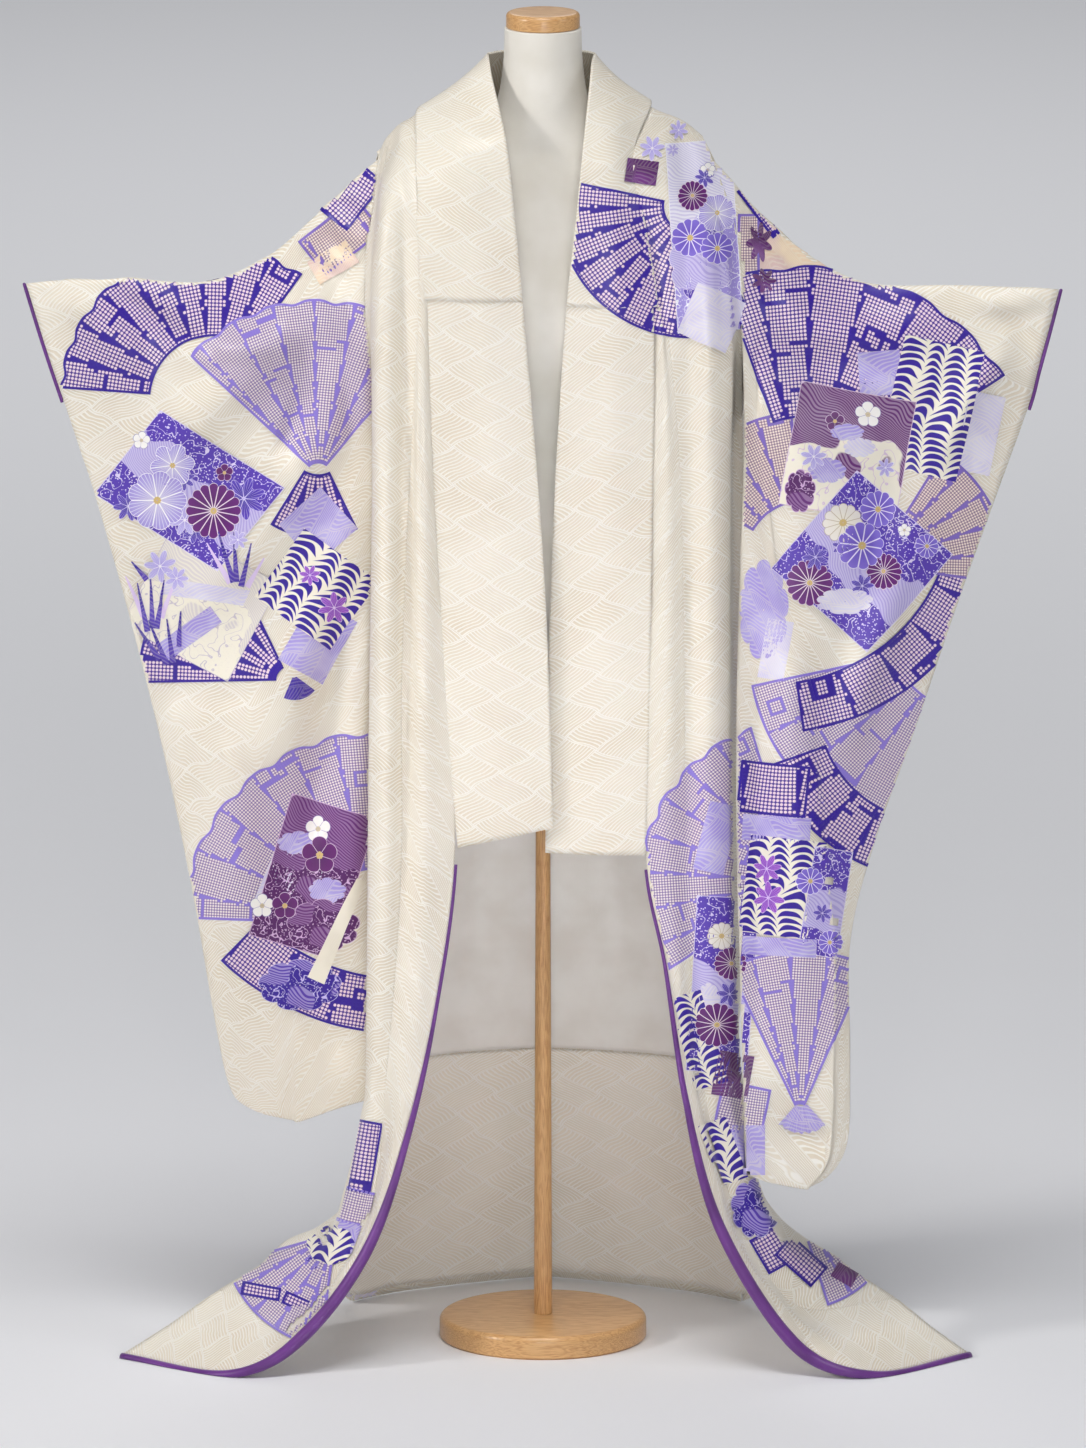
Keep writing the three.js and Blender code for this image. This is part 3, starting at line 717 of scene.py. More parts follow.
@dataclass
class Skirt:
    """One half of the body: strip, overlap panel, linings and padded front roll."""

    half: Half
    cut: HalfBody
    creases: tuple[Crease, ...] = ()
    strip_net: tuple[int, int] = (57, 331)  # points across the strip and along it
    panel_net: tuple[int, int] = (25, 201)
    lining_net: tuple[int, int] = (55, 37)  # points from front edge to side, and on behind
    lining_fine: int = 361  # rows on which the lining's split is looked for
    roll_net: tuple[int, int] = (17, 119)  # points round the roll and along it
    seam_gap: float = 0.02  # net places between a cloth's edge and its seam
    seam_over: float = 2.06  # net place of the panel's tucked edge, past the seam
    seam_deep: float = 0.9 * MM  # how far that edge goes in
    strip_rows: int = 26  # net places along the strip
    panel_rows: float = 9.95
    lining_split: float = 0.33  # height where the hem lining meets the lining
    lining_deep: float = 2.0 * MM
    lining_thick: float = 0.9 * MM
    lining_edge: float = 0.08  # net place of the lining's front edge
    lining_foot: float = 0.06  # net place of its lower edge
    lining_top: float = 7.95
    lining_rows: int = 9  # net places up the lining
    lining_rising: int = 40  # above this fine row the height only goes up
    foot_clear: float = 1.2 * MM  # of the lining, on top of the cloth's own
    split_gap: float = 0.01  # net places from the split to each lining
    roll_top: float = 5.9  # net place of the roll's upper end
    roll_inner: float = 0.25  # net place that gives the roll its sideways direction
    roll_clear: float = 0.6 * MM  # from the front edge, and from the floor
    roll_squash: float = 0.85

    def out_of(self, grid: Net) -> Net:
        """Returns the outward normals of a grid laid with u from the front edge."""
        return normals_of(grid) * self.half.sign

    def strip(self) -> Net:
        """Drapes the long strip.

        Returns:
            Its grid, front hem to back hem.
        """
        across, along = self.strip_net
        us = np.linspace(self.seam_gap, STRIP_WIDE - self.seam_gap, across)
        grid = self.cut.strip(us, np.linspace(0, self.strip_rows, along))
        return creased(grid, self.out_of(grid), self.creases)

    def panel(self) -> Net:
        """Drapes the front overlap panel.

        Returns:
            Its grid, hem first.
        """
        across, along = self.panel_net
        rows = np.linspace(0, self.panel_rows, along)
        us = np.append(np.linspace(0, SIDE - STRIP_WIDE - self.seam_gap, across),
                       self.seam_over)
        grid = self.cut.wrap(us, rows)
        out = self.out_of(grid)
        grid = creased(grid, out, self.creases)
        grid[:, -1] -= out[:, -1] * self.seam_deep
        return grid

    def inside(self, low: float, high: float | None) -> Net:
        """Returns a grid of lining between row low and row high, or the split height.

        Args:
            low: First row, or a negative number to start at the split height.
            high: Last row, or None to stop at the split height.

        Returns:
            The lining's middle surface.
        """
        before, behind = self.lining_net
        gap = self.seam_gap
        us = np.concatenate([np.linspace(self.lining_edge, SIDE - gap, before),
                             np.linspace(SIDE + gap, CENTRE_BACK - gap, behind)])
        dense = np.linspace(0, self.lining_rows, self.lining_fine)
        grid = self.cut.wrap(us, dense)
        out = self.out_of(grid)
        grid = creased(grid, out, self.creases) - out * self.lining_deep
        grid[..., 2] = np.maximum(grid[..., 2], FLOOR_CLEAR + self.foot_clear)
        rising = self.lining_rising
        split = [np.interp(self.lining_split, col[rising:, 2], dense[rising:]) for col in
                 grid.transpose(1, 0, 2)]
        steps = np.linspace(0, 1, 51 if high is None else 81)
        columns = []
        for k, place in enumerate(split):
            start = place + self.split_gap if low < 0 else low
            stop = place - self.split_gap if high is None else high
            columns.append(resampled(grid[:, k], dense, start + (stop - start) * steps))
        return np.stack(columns, 1)

    def roll(self) -> Net:
        """Lays the padded roll along the front edge.

        Returns:
            The rings of its tube, from the waist down to the tip.
        """
        sides, along = self.roll_net
        rows = np.linspace(self.roll_top, 0, along)
        pair = self.cut.wrap(np.array([0, self.roll_inner]), rows)
        pair = creased(pair, self.out_of(pair), self.creases)
        edge, inner = pair[:, 0], pair[:, 1]
        size = np.interp(rows, np.arange(len(EDGE_ROLL)), EDGE_ROLL) * MM
        side, lift = frames_of(edge, edge - inner)
        turn = np.linspace(0, 2 * np.pi, sides)
        across = self.roll_clear + size[:, None] * (1 + np.cos(turn))
        tall = np.sin(turn) * size[:, None] * self.roll_squash
        tube = edge[:, None] + side[:, None] * across[..., None] + lift[:, None] * tall[..., None]
        tube[..., 2] = np.maximum(tube[..., 2], self.roll_clear)
        tube[:, -1] = tube[:, 0]
        return tube


@dataclass
class Sleeve:
    """One long sleeve: a single cloth folded at the top, front layer and back layer."""

    half: Half
    table: tuple
    sags: tuple
    creases: tuple[Crease, ...] = ()
    corner: float = 0.24  # share of the width that the outer bottom corner's round takes
    inner_corner: float = 0.0  # the same at the inner corner
    corner_rows: float = 0.5  # height of both rounds, in rows
    tuck: float = 8 * MM  # how far the inner edge goes in beside the body
    net: tuple[int, int] = (69, 401)  # points across the sleeve and along it
    cuff_net: tuple[int, int] = (13, 97)  # points round the violet edge and along it
    cuff_reach: float = 3  # rows of the cuff's opening, to each side of the top fold
    cuff_inner: float = 5.7  # net place that follows the cuff's edge inside it
    cuff_out: float = 2.9 * MM  # from the cuff's edge to the middle of its violet edge
    cuff_round: float = 2.1 * MM  # radius of the violet edge
    cuff_squash: float = 0.8

    def grid(self) -> Net:
        """Drapes the whole sleeve.

        Returns:
            Its grid, front bottom to back bottom.
        """
        last = 2 * (len(self.table) - 1)
        us, vs = np.linspace(0, CUFF, self.net[0]), np.linspace(0, last, self.net[1])
        grid = sleeve_place(self.table, self.sags, us, vs)
        columns = []
        for k, u in enumerate(us):
            share = u / CUFF
            outer = max(0.0, (share - 1 + self.corner) / self.corner)
            inner = max(0.0, (self.inner_corner - share) / max(self.inner_corner, 1e-6))
            cut = 1 - math.sqrt(max(0.0, 1 - max(outer, inner) ** 2))
            rows = np.linspace(cut * self.corner_rows, last - cut * self.corner_rows, len(vs))
            columns.append(resampled(grid[:, k], vs, rows))
        grid = np.stack(columns, 1)
        grid[..., 0] -= self.half.sign * self.tuck * np.maximum(1 - us, 0) ** 2
        return creased(grid, normals_of(grid) * self.half.sign, self.creases)

    def cuff(self) -> Net:
        """Lays the violet edge round the cuff.

        Returns:
            The rings of its tube.
        """
        middle = len(self.table) - 1
        sides, along = self.cuff_net
        rows = np.linspace(middle - self.cuff_reach, middle + self.cuff_reach, along)
        pair = sleeve_place(self.table, self.sags, np.array([self.cuff_inner, CUFF]), rows)
        edge = pair[:, 1] + np.array([self.half.sign * self.cuff_out, 0, 0])
        side, lift = frames_of(edge, np.full(edge.shape, (1.0 * self.half.sign, 0, 0)))
        turn = np.linspace(0, math.tau, sides)
        tube = edge[:, None] + self.cuff_round * (
            side[:, None] * np.cos(turn)[:, None]
            + lift[:, None] * self.cuff_squash * np.sin(turn)[:, None])
        tube[:, -1] = tube[:, 0]
        return tube


def collar_place(us: Net, vs: Net) -> Net:
    """Lays a net over the collar band.

    Args:
        us: Places across it, 0 at its seam.
        vs: Places along it, 0 at the left end.

    Returns:
        The net's points, one row for each v.
    """
    rows = [through(np.array(row, float), us) for row in COLLAR]
    return through(np.array(rows) * MM, vs)


# ------------------------------------------------------------------ finishes
Socket = bpy.types.NodeSocket
Value = Socket | float


def paint(red: int, green: int, blue: int) -> tuple[float, float, float, float]:
    """Turns a screen colour into the linear colour that a shader takes.

    Args:
        red: Red, from 0 to 255.
        green: Green.
        blue: Blue.

    Returns:
        The linear colour, with full cover.
    """
    parts = []
    for part in (red, green, blue):
        share = part / 255
        parts.append(share / 12.92 if share < 0.04045 else ((share + 0.055) / 1.055) ** 2.4)
    return (*parts, 1.0)


class Nodes:
    """Builds one material's node tree, socket by socket."""

    def __init__(self, name: str, rough: float = 0.5, sheen: float = 0.0) -> None:
        """Starts a material with a plain shader.

        Args:
            name: Name of the material.
            rough: Roughness of the shader.
            sheen: Sheen weight of the shader.
        """
        self.material = bpy.data.materials.new(name)
        self.material.use_nodes = True
        self.tree = self.material.node_tree
        self.shader = self.tree.nodes["Principled BSDF"]
        self.shader.inputs["Roughness"].default_value = rough
        self.shader.inputs["Sheen Weight"].default_value = sheen
        self.shader.inputs["Sheen Roughness"].default_value = 0.4

    def add(self, kind: str, **settings: object) -> bpy.types.Node:
        """Adds a node.

        Args:
            kind: Its type.
            **settings: Its options.

        Returns:
            The new node.
        """
        node = self.tree.nodes.new(kind)
        for key, value in settings.items():
            setattr(node, key, value)
        return node

    def feed(self, value: object, socket: Socket) -> None:
        """Links a socket into another, or sets a plain value on it.

        Args:
            value: The socket or the value.
            socket: The socket that takes it.
        """
        if isinstance(value, bpy.types.NodeSocket):
            self.tree.links.new(value, socket)
        else:
            socket.default_value = value

    def math(self, operation: str, *values: Value) -> Socket:
        """Adds a Math node.

        Args:
            operation: What it works out.
            *values: What it works on.

        Returns:
            The result.
        """
        node = self.add("ShaderNodeMath", operation=operation)
        for value, socket in zip(values, node.inputs):
            self.feed(value, socket)
        return node.outputs[0]

    plus = partialmethod(math, "ADD")
    minus = partialmethod(math, "SUBTRACT")
    times = partialmethod(math, "MULTIPLY")
    over = partialmethod(math, "DIVIDE")
    scaled = partialmethod(math, "MULTIPLY_ADD")  # the first times the second, plus the third
    floor = partialmethod(math, "FLOOR")
    size = partialmethod(math, "ABSOLUTE")
    most = partialmethod(math, "MAXIMUM")
    zigzag = partialmethod(math, "PINGPONG")

    def mix(self, share: Value, low: object, high: object) -> Socket:
        """Mixes two colours.

        Args:
            share: How much of the second there is, from 0 to 1.
            low: The first colour.
            high: The second colour.

        Returns:
            The mixed colour.
        """
        node = self.add("ShaderNodeMix", data_type="RGBA", clamp_factor=True)
        self.feed(share, node.inputs[0])
        self.feed(low, node.inputs[6])
        self.feed(high, node.inputs[7])
        return node.outputs[2]

    def step(self, value: Value, low: float, high: float) -> Socket:
        """Turns a value into a soft step; a low above the high turns it round.

        Args:
            value: The value.
            low: Where the step starts from 0.
            high: Where it reaches 1.

        Returns:
            The step, from 0 to 1.
        """
        node = self.add("ShaderNodeMapRange", interpolation_type="SMOOTHSTEP")
        for given, socket in zip((value, low, high, 0.0, 1.0), node.inputs):
            self.feed(given, socket)
        return node.outputs[0]

    def flat_map(self, name: str) -> tuple[Socket, Socket, Socket]:
        """Reads a flat map of the piece.

        Args:
            name: "Cloth" for lengths on the cloth, "Print" for the printed shape's own.

        Returns:
            The place as a vector, and its two parts.
        """
        place = self.add("ShaderNodeUVMap", uv_map=name).outputs[0]
        parts = self.add("ShaderNodeSeparateXYZ")
        self.feed(place, parts.inputs[0])
        return place, parts.outputs[0], parts.outputs[1]

    def solid_map(self) -> Socket:
        """Returns the place on the object, in metres."""
        return self.add("ShaderNodeTexCoord").outputs["Object"]

    def noise(self, place: Socket, scale: float, detail: float = 2.0) -> Socket:
        """Adds soft noise.

        Args:
            place: Where it is read.
            scale: How many spots it has to a metre.
            detail: How much finer noise it carries.

        Returns:
            The noise, from 0 to 1.
        """
        node = self.add("ShaderNodeTexNoise")
        self.feed(place, node.inputs["Vector"])
        node.inputs["Scale"].default_value = scale
        node.inputs["Detail"].default_value = detail
        return node.outputs[0]

    def chance(self, *values: Value) -> Socket:
        """Draws a fixed random value.

        Args:
            *values: Up to three whole numbers that it hangs on.

        Returns:
            The value, from 0 to 1.
        """
        node = self.add("ShaderNodeTexWhiteNoise", noise_dimensions="3D")
        join = self.add("ShaderNodeCombineXYZ")
        for value, socket in zip(values, join.inputs):
            self.feed(value, socket)
        self.feed(join.outputs[0], node.inputs[0])
        return node.outputs[0]

    def rim(self) -> Socket:
        """Returns how far the place is inside its printed shape's outline, in metres."""
        return self.add("ShaderNodeAttribute", attribute_name="Rim").outputs["Fac"]

    def stretch(self, place: Socket, scale: tuple[float, float, float]) -> Socket:
        """Stretches a place along its axes.

        Args:
            place: The place.
            scale: What each axis is multiplied by.

        Returns:
            The stretched place.
        """
        node = self.add("ShaderNodeMapping")
        self.feed(place, node.inputs[0])
        node.inputs[3].default_value = scale
        return node.outputs[0]

    def relief(self, height: Socket, depth: float, strength: float = 1.0) -> None:
        """Bumps the shader's surface.

        Args:
            height: Height of the surface, from 0 to 1.
            depth: How high 1 is, in metres.
            strength: How much of the bump shows.
        """
        bump = self.add("ShaderNodeBump")
        bump.inputs["Strength"].default_value = strength
        bump.inputs["Distance"].default_value = depth
        self.feed(height, bump.inputs["Height"])
        self.feed(bump.outputs[0], self.shader.inputs["Normal"])

    def done(self, colour: object) -> bpy.types.Material:
        """Gives the shader its colour.

        Args:
            colour: The colour, or the socket it comes from.

        Returns:
            The finished material.
        """
        self.feed(colour, self.shader.inputs["Base Color"])
        return self.material


@dataclass(frozen=True)
class Damask:
    """The woven-in pattern: oblique cells of slanting lines, crossed like basket work."""

    half_wide: float = 0.040  # half of one cell across the cloth
    half_tall: float = 0.025
    lines: float = 10.0  # to a cell
    wave: float = 0.028  # how far the cells' edges swing, in cells
    stray: float = 0.10  # how far the whole pattern strays
    hand: float = 0.5  # how far a line strays

    def draw(self, n: Nodes) -> Socket:
        """Draws the pattern on the cloth's own map.

        Args:
            n: The material that it belongs to.

        Returns:
            The raised lines, from 0 to 1.
        """
        place, u, v = n.flat_map("Cloth")
        drift = n.scaled(n.noise(place, 11.0, 1.0), 2 * self.stray, -self.stray)
        across = n.over(u, 2 * self.half_wide)
        up = n.over(v, 2 * self.half_tall)
        s = n.plus(n.plus(across, up), drift)
        t = n.plus(n.minus(across, up), drift)
        s2 = n.scaled(n.math("SINE", n.times(t, math.tau)), self.wave, s)
        t2 = n.scaled(n.math("SINE", n.times(s, math.tau)), self.wave, t)
        odd = n.math("FLOORED_MODULO", n.plus(n.floor(s2), n.floor(t2)), 2.0)
        run = n.scaled(n.minus(s2, t2), odd, t2)
        hand = n.scaled(n.noise(place, 70.0, 1.0), self.hand, -self.hand / 2)
        rows = n.plus(n.times(run, self.lines), hand)
        line = n.zigzag(rows, 0.5)
        edge = n.math("MINIMUM", n.zigzag(s2, 0.5), n.zigzag(t2, 0.5))
        band = n.step(edge, 0.022, 0.008)
        return n.most(n.step(line, 0.24, 0.38), band)


@dataclass(frozen=True)
class SilkFinish:
    """Ivory figured silk, satin lines on a duller ground."""

    name: str
    line: tuple[int, int, int]
    ground: tuple[int, int, int]
    shade: tuple[int, int, int]
    damask: Damask = Damask()
    tall: float = 0.0004  # height of the woven lines, in metres
    dull: float = 0.43  # roughness of the ground
    gloss: float = 0.13  # how much smoother the lines are

    def build(self) -> bpy.types.Material:
        """Draws the silk as a material.

        Returns:
            The finished silk.
        """
        n = Nodes(self.name, rough=0.36, sheen=0.1)
        place, _, _ = n.flat_map("Cloth")
        lines = self.damask.draw(n)
        tone = n.mix(n.step(n.noise(place, 9.0, 3.0), 0.35, 0.75), paint(*self.ground),
                     paint(*self.shade))
        colour = n.mix(lines, tone, paint(*self.line))
        thread = n.noise(n.stretch(place, (1.0, 0.12, 1.0)), 900.0, 1.0)
        n.relief(n.scaled(thread, 0.2, lines), self.tall, 0.8)
        n.feed(n.scaled(lines, -self.gloss, self.dull), n.shader.inputs["Roughness"])
        return n.done(colour)


@dataclass(frozen=True)
class PlainSilk:
    """Smooth undyed or dyed silk without a figure."""

    name: str
    colour: tuple[int, int, int]
    deep: tuple[int, int, int]
    rough: float = 0.5

    def build(self) -> bpy.types.Material:
        """Draws the silk as a material.

        Returns:
            The finished silk.
        """
        n = Nodes(self.name, rough=self.rough, sheen=0.3)
        place, _, _ = n.flat_map("Cloth")
        cloud = n.step(n.noise(place, 14.0, 3.0), 0.3, 0.75)
        thread = n.noise(n.stretch(place, (1.0, 0.1, 1.0)), 700.0, 1.0)
        n.relief(thread, 0.00012, 0.6)
        return n.done(n.mix(cloud, paint(*self.colour), paint(*self.deep)))


@dataclass(frozen=True)
class WoodFinish:
    """Pale varnished wood with its grain along one axis."""

    name: str
    along: tuple[float, float, float]
    light: tuple[int, int, int] = (222, 176, 120)
    dark: tuple[int, int, int] = (190, 136, 82)

    def build(self) -> bpy.types.Material:
        """Draws the wood as a material.

        Returns:
            The finished wood.
        """
        n = Nodes(self.name, rough=0.34)
        n.shader.inputs["Coat Weight"].default_value = 0.35
        n.shader.inputs["Coat Roughness"].default_value = 0.22
        place = n.stretch(n.solid_map(), self.along)
        broad = n.noise(place, 9.0, 3.0)
        rings = n.zigzag(n.times(broad, 9.0), 0.5)
        pores = n.noise(place, 70.0, 3.0)
        share = n.scaled(n.step(rings, 0.1, 0.45), 0.55, n.times(n.step(pores, 0.45, 0.7), 0.4))
        n.relief(pores, 0.00015, 0.5)
        return n.done(n.mix(share, paint(*self.light), paint(*self.dark)))


@dataclass(frozen=True)
class JerseyFinish:
    """The form's close cream cover: fine knit, hardly any shine."""

    name: str
    colour: tuple[int, int, int] = (240, 236, 228)
    deep: tuple[int, int, int] = (230, 225, 214)

    def build(self) -> bpy.types.Material:
        """Draws the cover as a material.

        Returns:
            The finished cover.
        """
        n = Nodes(self.name, rough=0.8, sheen=0.25)
        place = n.solid_map()
        knit = n.noise(n.stretch(place, (1.0, 1.0, 0.55)), 1100.0, 1.0)
        n.relief(knit, 0.0002, 0.7)
        cloud = n.step(n.noise(place, 12.0, 3.0), 0.3, 0.7)
        return n.done(n.mix(cloud, paint(*self.colour), paint(*self.deep)))


# ------------------------------------------------------------------ printed finishes
RIB_ANGLE = 0.24  # between the ribs of a fan, in radians
INDIGO = (48, 14, 152)
VIOLET = (104, 78, 196)
LAVENDER = (163, 148, 222)
MIST = (212, 206, 234)
PLUM = (84, 22, 98)
IVORY = (244, 238, 222)
GOLD = (214, 186, 120)


@dataclass(frozen=True)
class DotPrint:
    """Tied-dot dyeing on a fan: a lattice of pale dots, left out along ribs and frets."""

    name: str
    bar: tuple[int, int, int]
    gap: tuple[int, int, int]
    dot: tuple[int, int, int]
    rib_angle: float = RIB_ANGLE
    bar_half: float = 0.0012
    pitch: float = 0.0048  # between dots
    tier: float = 0.064  # height between cross bars
    bare_rails: float = 0.56  # share of the tiers without a cross bar
    bare_rings: float = 0.84  # share of the tiers without a square ring
    rail_gap: float = 1.5  # half the height between a cross bar's two rails, in dots
    rail_half: float = 0.62
    ring_half: float = 2.5  # half the width of a ring, in dots
    ring_wide: float = 0.55
    ring_stray: float = 0.02  # how far the rings stray from the middle of their ribs
    rim_wide: float = 0.0036
    rim_soft: float = 0.0007

    def build(self) -> bpy.types.Material:
        """Draws the print as a material.

        Returns:
            The finished print.
        """
        n = Nodes(self.name, rough=0.34, sheen=0.05)
        _, angle, radius = n.flat_map("Print")
        rib = n.floor(n.over(angle, self.rib_angle))
        turn = n.minus(angle, n.times(n.plus(rib, 0.5), self.rib_angle))
        cells = [n.over(n.times(radius, n.math(name, turn)), self.pitch)
                 for name in ("SINE", "COSINE")]
        x, y = (n.times(n.plus(n.floor(cell), 0.5), self.pitch) for cell in cells)
        chip = n.times(n.chance(rib, n.floor(cells[1]), 1.0), self.pitch)
        beside = n.minus(n.times(y, self.rib_angle / 2), n.size(x))
        wide = n.scaled(chip, 0.62, self.bar_half)
        ribs = n.math("LESS_THAN", beside, n.math("MINIMUM", wide, n.times(y, 0.03)))
        height = n.scaled(n.chance(rib, 7.0, 2.0), self.tier, y)
        tier = n.floor(n.over(height, self.tier))
        within = n.minus(height, n.times(n.plus(tier, 0.5), self.tier))
        side = n.scaled(n.chance(rib, tier, 3.0), self.ring_stray, -self.ring_stray / 2)
        past = n.minus(x, side)
        jog = n.times(n.math("SIGN", past), self.pitch * self.rail_gap)
        rails = n.math("LESS_THAN", n.size(n.plus(within, jog)), self.pitch * self.rail_half)
        rails = n.times(rails, n.math("GREATER_THAN", n.chance(rib, tier, 4.0), self.bare_rails))
        box = n.most(n.size(past), n.size(within))
        ring = n.math("COMPARE", box, self.pitch * self.ring_half, self.pitch * self.ring_wide)
        ring = n.times(ring, n.math("GREATER_THAN", n.chance(rib, tier, 5.0), self.bare_rings))
        rim = n.step(n.rim(), self.rim_wide, self.rim_wide - self.rim_soft)
        bars = n.most(n.most(ribs, rails), n.most(ring, rim))
        near = [n.size(n.minus(n.math("FRACT", cell), 0.5)) for cell in cells]
        far = n.scaled(n.plus(*near), 0.4, n.times(n.most(*near), 0.6))
        space = n.step(far, 0.34, 0.48)
        n.relief(n.minus(1.0, space), 0.0005, 0.6)
        field_colour = n.mix(space, paint(*self.dot), paint(*self.gap))
        return n.done(n.mix(bars, field_colour, paint(*self.bar)))


@dataclass(frozen=True)
class WaterPrint:
    """Flowing water: crescents that swell and thin as they run across."""

    name: str
    stream: tuple[int, int, int]
    ground: tuple[int, int, int]
    pitch: float = 0.0100  # from one crescent up to the next
    wave: float = 0.031  # width of a crescent
    meander: float = 1.6  # how far the columns of crescents stray sideways, in crescents
    drift: float = 2.6  # how far the crescents stray up and down
    thick: float = 0.36  # half the height of a crescent's middle
    thin: float = 0.38  # how much of it is lost toward the ends

    def build(self) -> bpy.types.Material:
        """Draws the print as a material.

        Returns:
            The finished print.
        """
        n = Nodes(self.name, rough=0.38, sheen=0.05)
        flat, x, y = n.flat_map("Print")
        eddy = n.noise(flat, 14.0, 1.0)
        column = n.plus(n.over(x, self.wave), n.times(eddy, self.meander))
        bow = n.minus(n.math("FRACT", column), 0.5)
        arch = n.times(n.times(bow, bow), 4.0)
        odd = n.math("FLOORED_MODULO", n.floor(column), 2.0)
        stray = n.scaled(odd, 0.5, n.times(eddy, self.drift))
        run = n.plus(n.over(y, self.pitch), n.scaled(arch, 1.0, stray))
        swell = n.scaled(arch, -self.thin, self.thick)
        line = n.minus(n.zigzag(run, 0.5), swell)
        return n.done(n.mix(n.step(line, -0.03, 0.03), paint(*self.stream), paint(*self.ground)))


@dataclass(frozen=True)
class ScenePrint:
    """A card's ground: two colours that meet along soft hills, hatched and speckled."""

    name: str
    low: tuple[int, int, int]
    high: tuple[int, int, int]
    mark: tuple[int, int, int]
    hill: float = 16.0  # scale of the hills
    speckle: float = 1.0  # how strongly the low colour is speckled
    hatch: float = 0.5  # how strongly the high colour is hatched
    rim_wide: float = 0.0012
    middle: bool = False  # the high colour runs across the middle, the low at both ends
    bands: float = 260.0  # lines of the hatching, to a metre
    spots: float = 300.0  # speckles, to a metre

    def build(self) -> bpy.types.Material:
        """Draws the print as a material.

        Returns:
            The finished print.
        """
        n = Nodes(self.name, rough=0.38, sheen=0.05)
        flat, x, y = n.flat_map("Print")
        swell = n.noise(flat, self.hill, 1.0)
        rise = n.scaled(n.size(y), -11.0, 0.30) if self.middle else y
        where = n.scaled(rise, 1.0 if self.middle else 5.0, swell)
        top = n.step(where, 0.50, 0.515)
        bands = n.zigzag(n.times(n.scaled(swell, 0.05, n.scaled(x, 0.5, y)), self.bands), 0.5)
        hatch = n.times(n.step(bands, 0.16, 0.28), self.hatch)
        cell = n.add("ShaderNodeTexVoronoi")
        n.feed(flat, cell.inputs["Vector"])
        cell.inputs["Scale"].default_value = self.spots
        spots = n.times(n.step(cell.outputs["Distance"], 0.34, 0.22), self.speckle)
        vein = n.step(n.zigzag(n.times(n.noise(flat, 30.0), 7.0), 0.5), 0.06, 0.02)
        speckled = n.mix(n.most(spots, vein), paint(*self.low), paint(*self.mark))
        hatched = n.mix(hatch, paint(*self.high), paint(*self.mark))
        rim = n.step(n.rim(), self.rim_wide, self.rim_wide * 0.5)
        return n.done(n.mix(rim, n.mix(top, speckled, hatched), paint(*self.mark)))


@dataclass(frozen=True)
class PetalPrint:
    """A flower or a lobed leaf: petals with pale outlines round a gold heart."""

    name: str
    petal: tuple[int, int, int]
    tip: tuple[int, int, int]
    outline: tuple[int, int, int]
    petals: int = 14
    line: float = 0.03  # width of the lines between petals
    heart: float = 0.16  # size of the heart
    heart_colour: tuple[int, int, int] = GOLD
    rim_wide: float = 0.0010
    streaks: float = 0.0  # how strongly the petals are streaked

    def build(self) -> bpy.types.Material:
        """Draws the print as a material.

        Returns:
            The finished print.
        """
        n = Nodes(self.name, rough=0.38, sheen=0.05)
        _, angle, share = n.flat_map("Print")
        place = n.times(n.plus(angle, math.pi / self.petals), self.petals / math.tau)
        gap = n.times(n.zigzag(place, 0.5), share)
        lines = n.step(gap, self.line * 1.4, self.line * 0.7)
        if self.streaks:
            fine = n.zigzag(n.times(place, 5.0), 0.5)
            lines = n.most(lines, n.times(n.step(fine, 0.14, 0.06), self.streaks))
        rim = n.step(n.rim(), self.rim_wide, self.rim_wide * 0.5)
        body = n.mix(share, paint(*self.petal), paint(*self.tip))
        drawn = n.mix(n.most(lines, rim), body, paint(*self.outline))
        heart = n.step(share, self.heart, self.heart * 0.85)
        return n.done(n.mix(heart, drawn, paint(*self.heart_colour)))


@dataclass(frozen=True)
class SoftPrint:
    """A softly clouded patch with the lines of the woven pattern showing through it."""

    name: str
    colour: tuple[int, int, int]
    deep: tuple[int, int, int]
    lines: float = 0.35  # how strongly they show

    def build(self) -> bpy.types.Material:
        """Draws the print as a material.

        Returns:
            The finished print.
        """
        n = Nodes(self.name, rough=0.38, sheen=0.05)
        flat, _, _ = n.flat_map("Print")
        lines = Damask(lines=9.0).draw(n)
        cloud = n.step(n.noise(flat, 22.0, 2.0), 0.4, 0.65)
        colour = n.mix(cloud, paint(*self.colour), paint(*self.deep))
        return n.done(n.mix(n.times(lines, self.lines), colour, paint(*IVORY)))


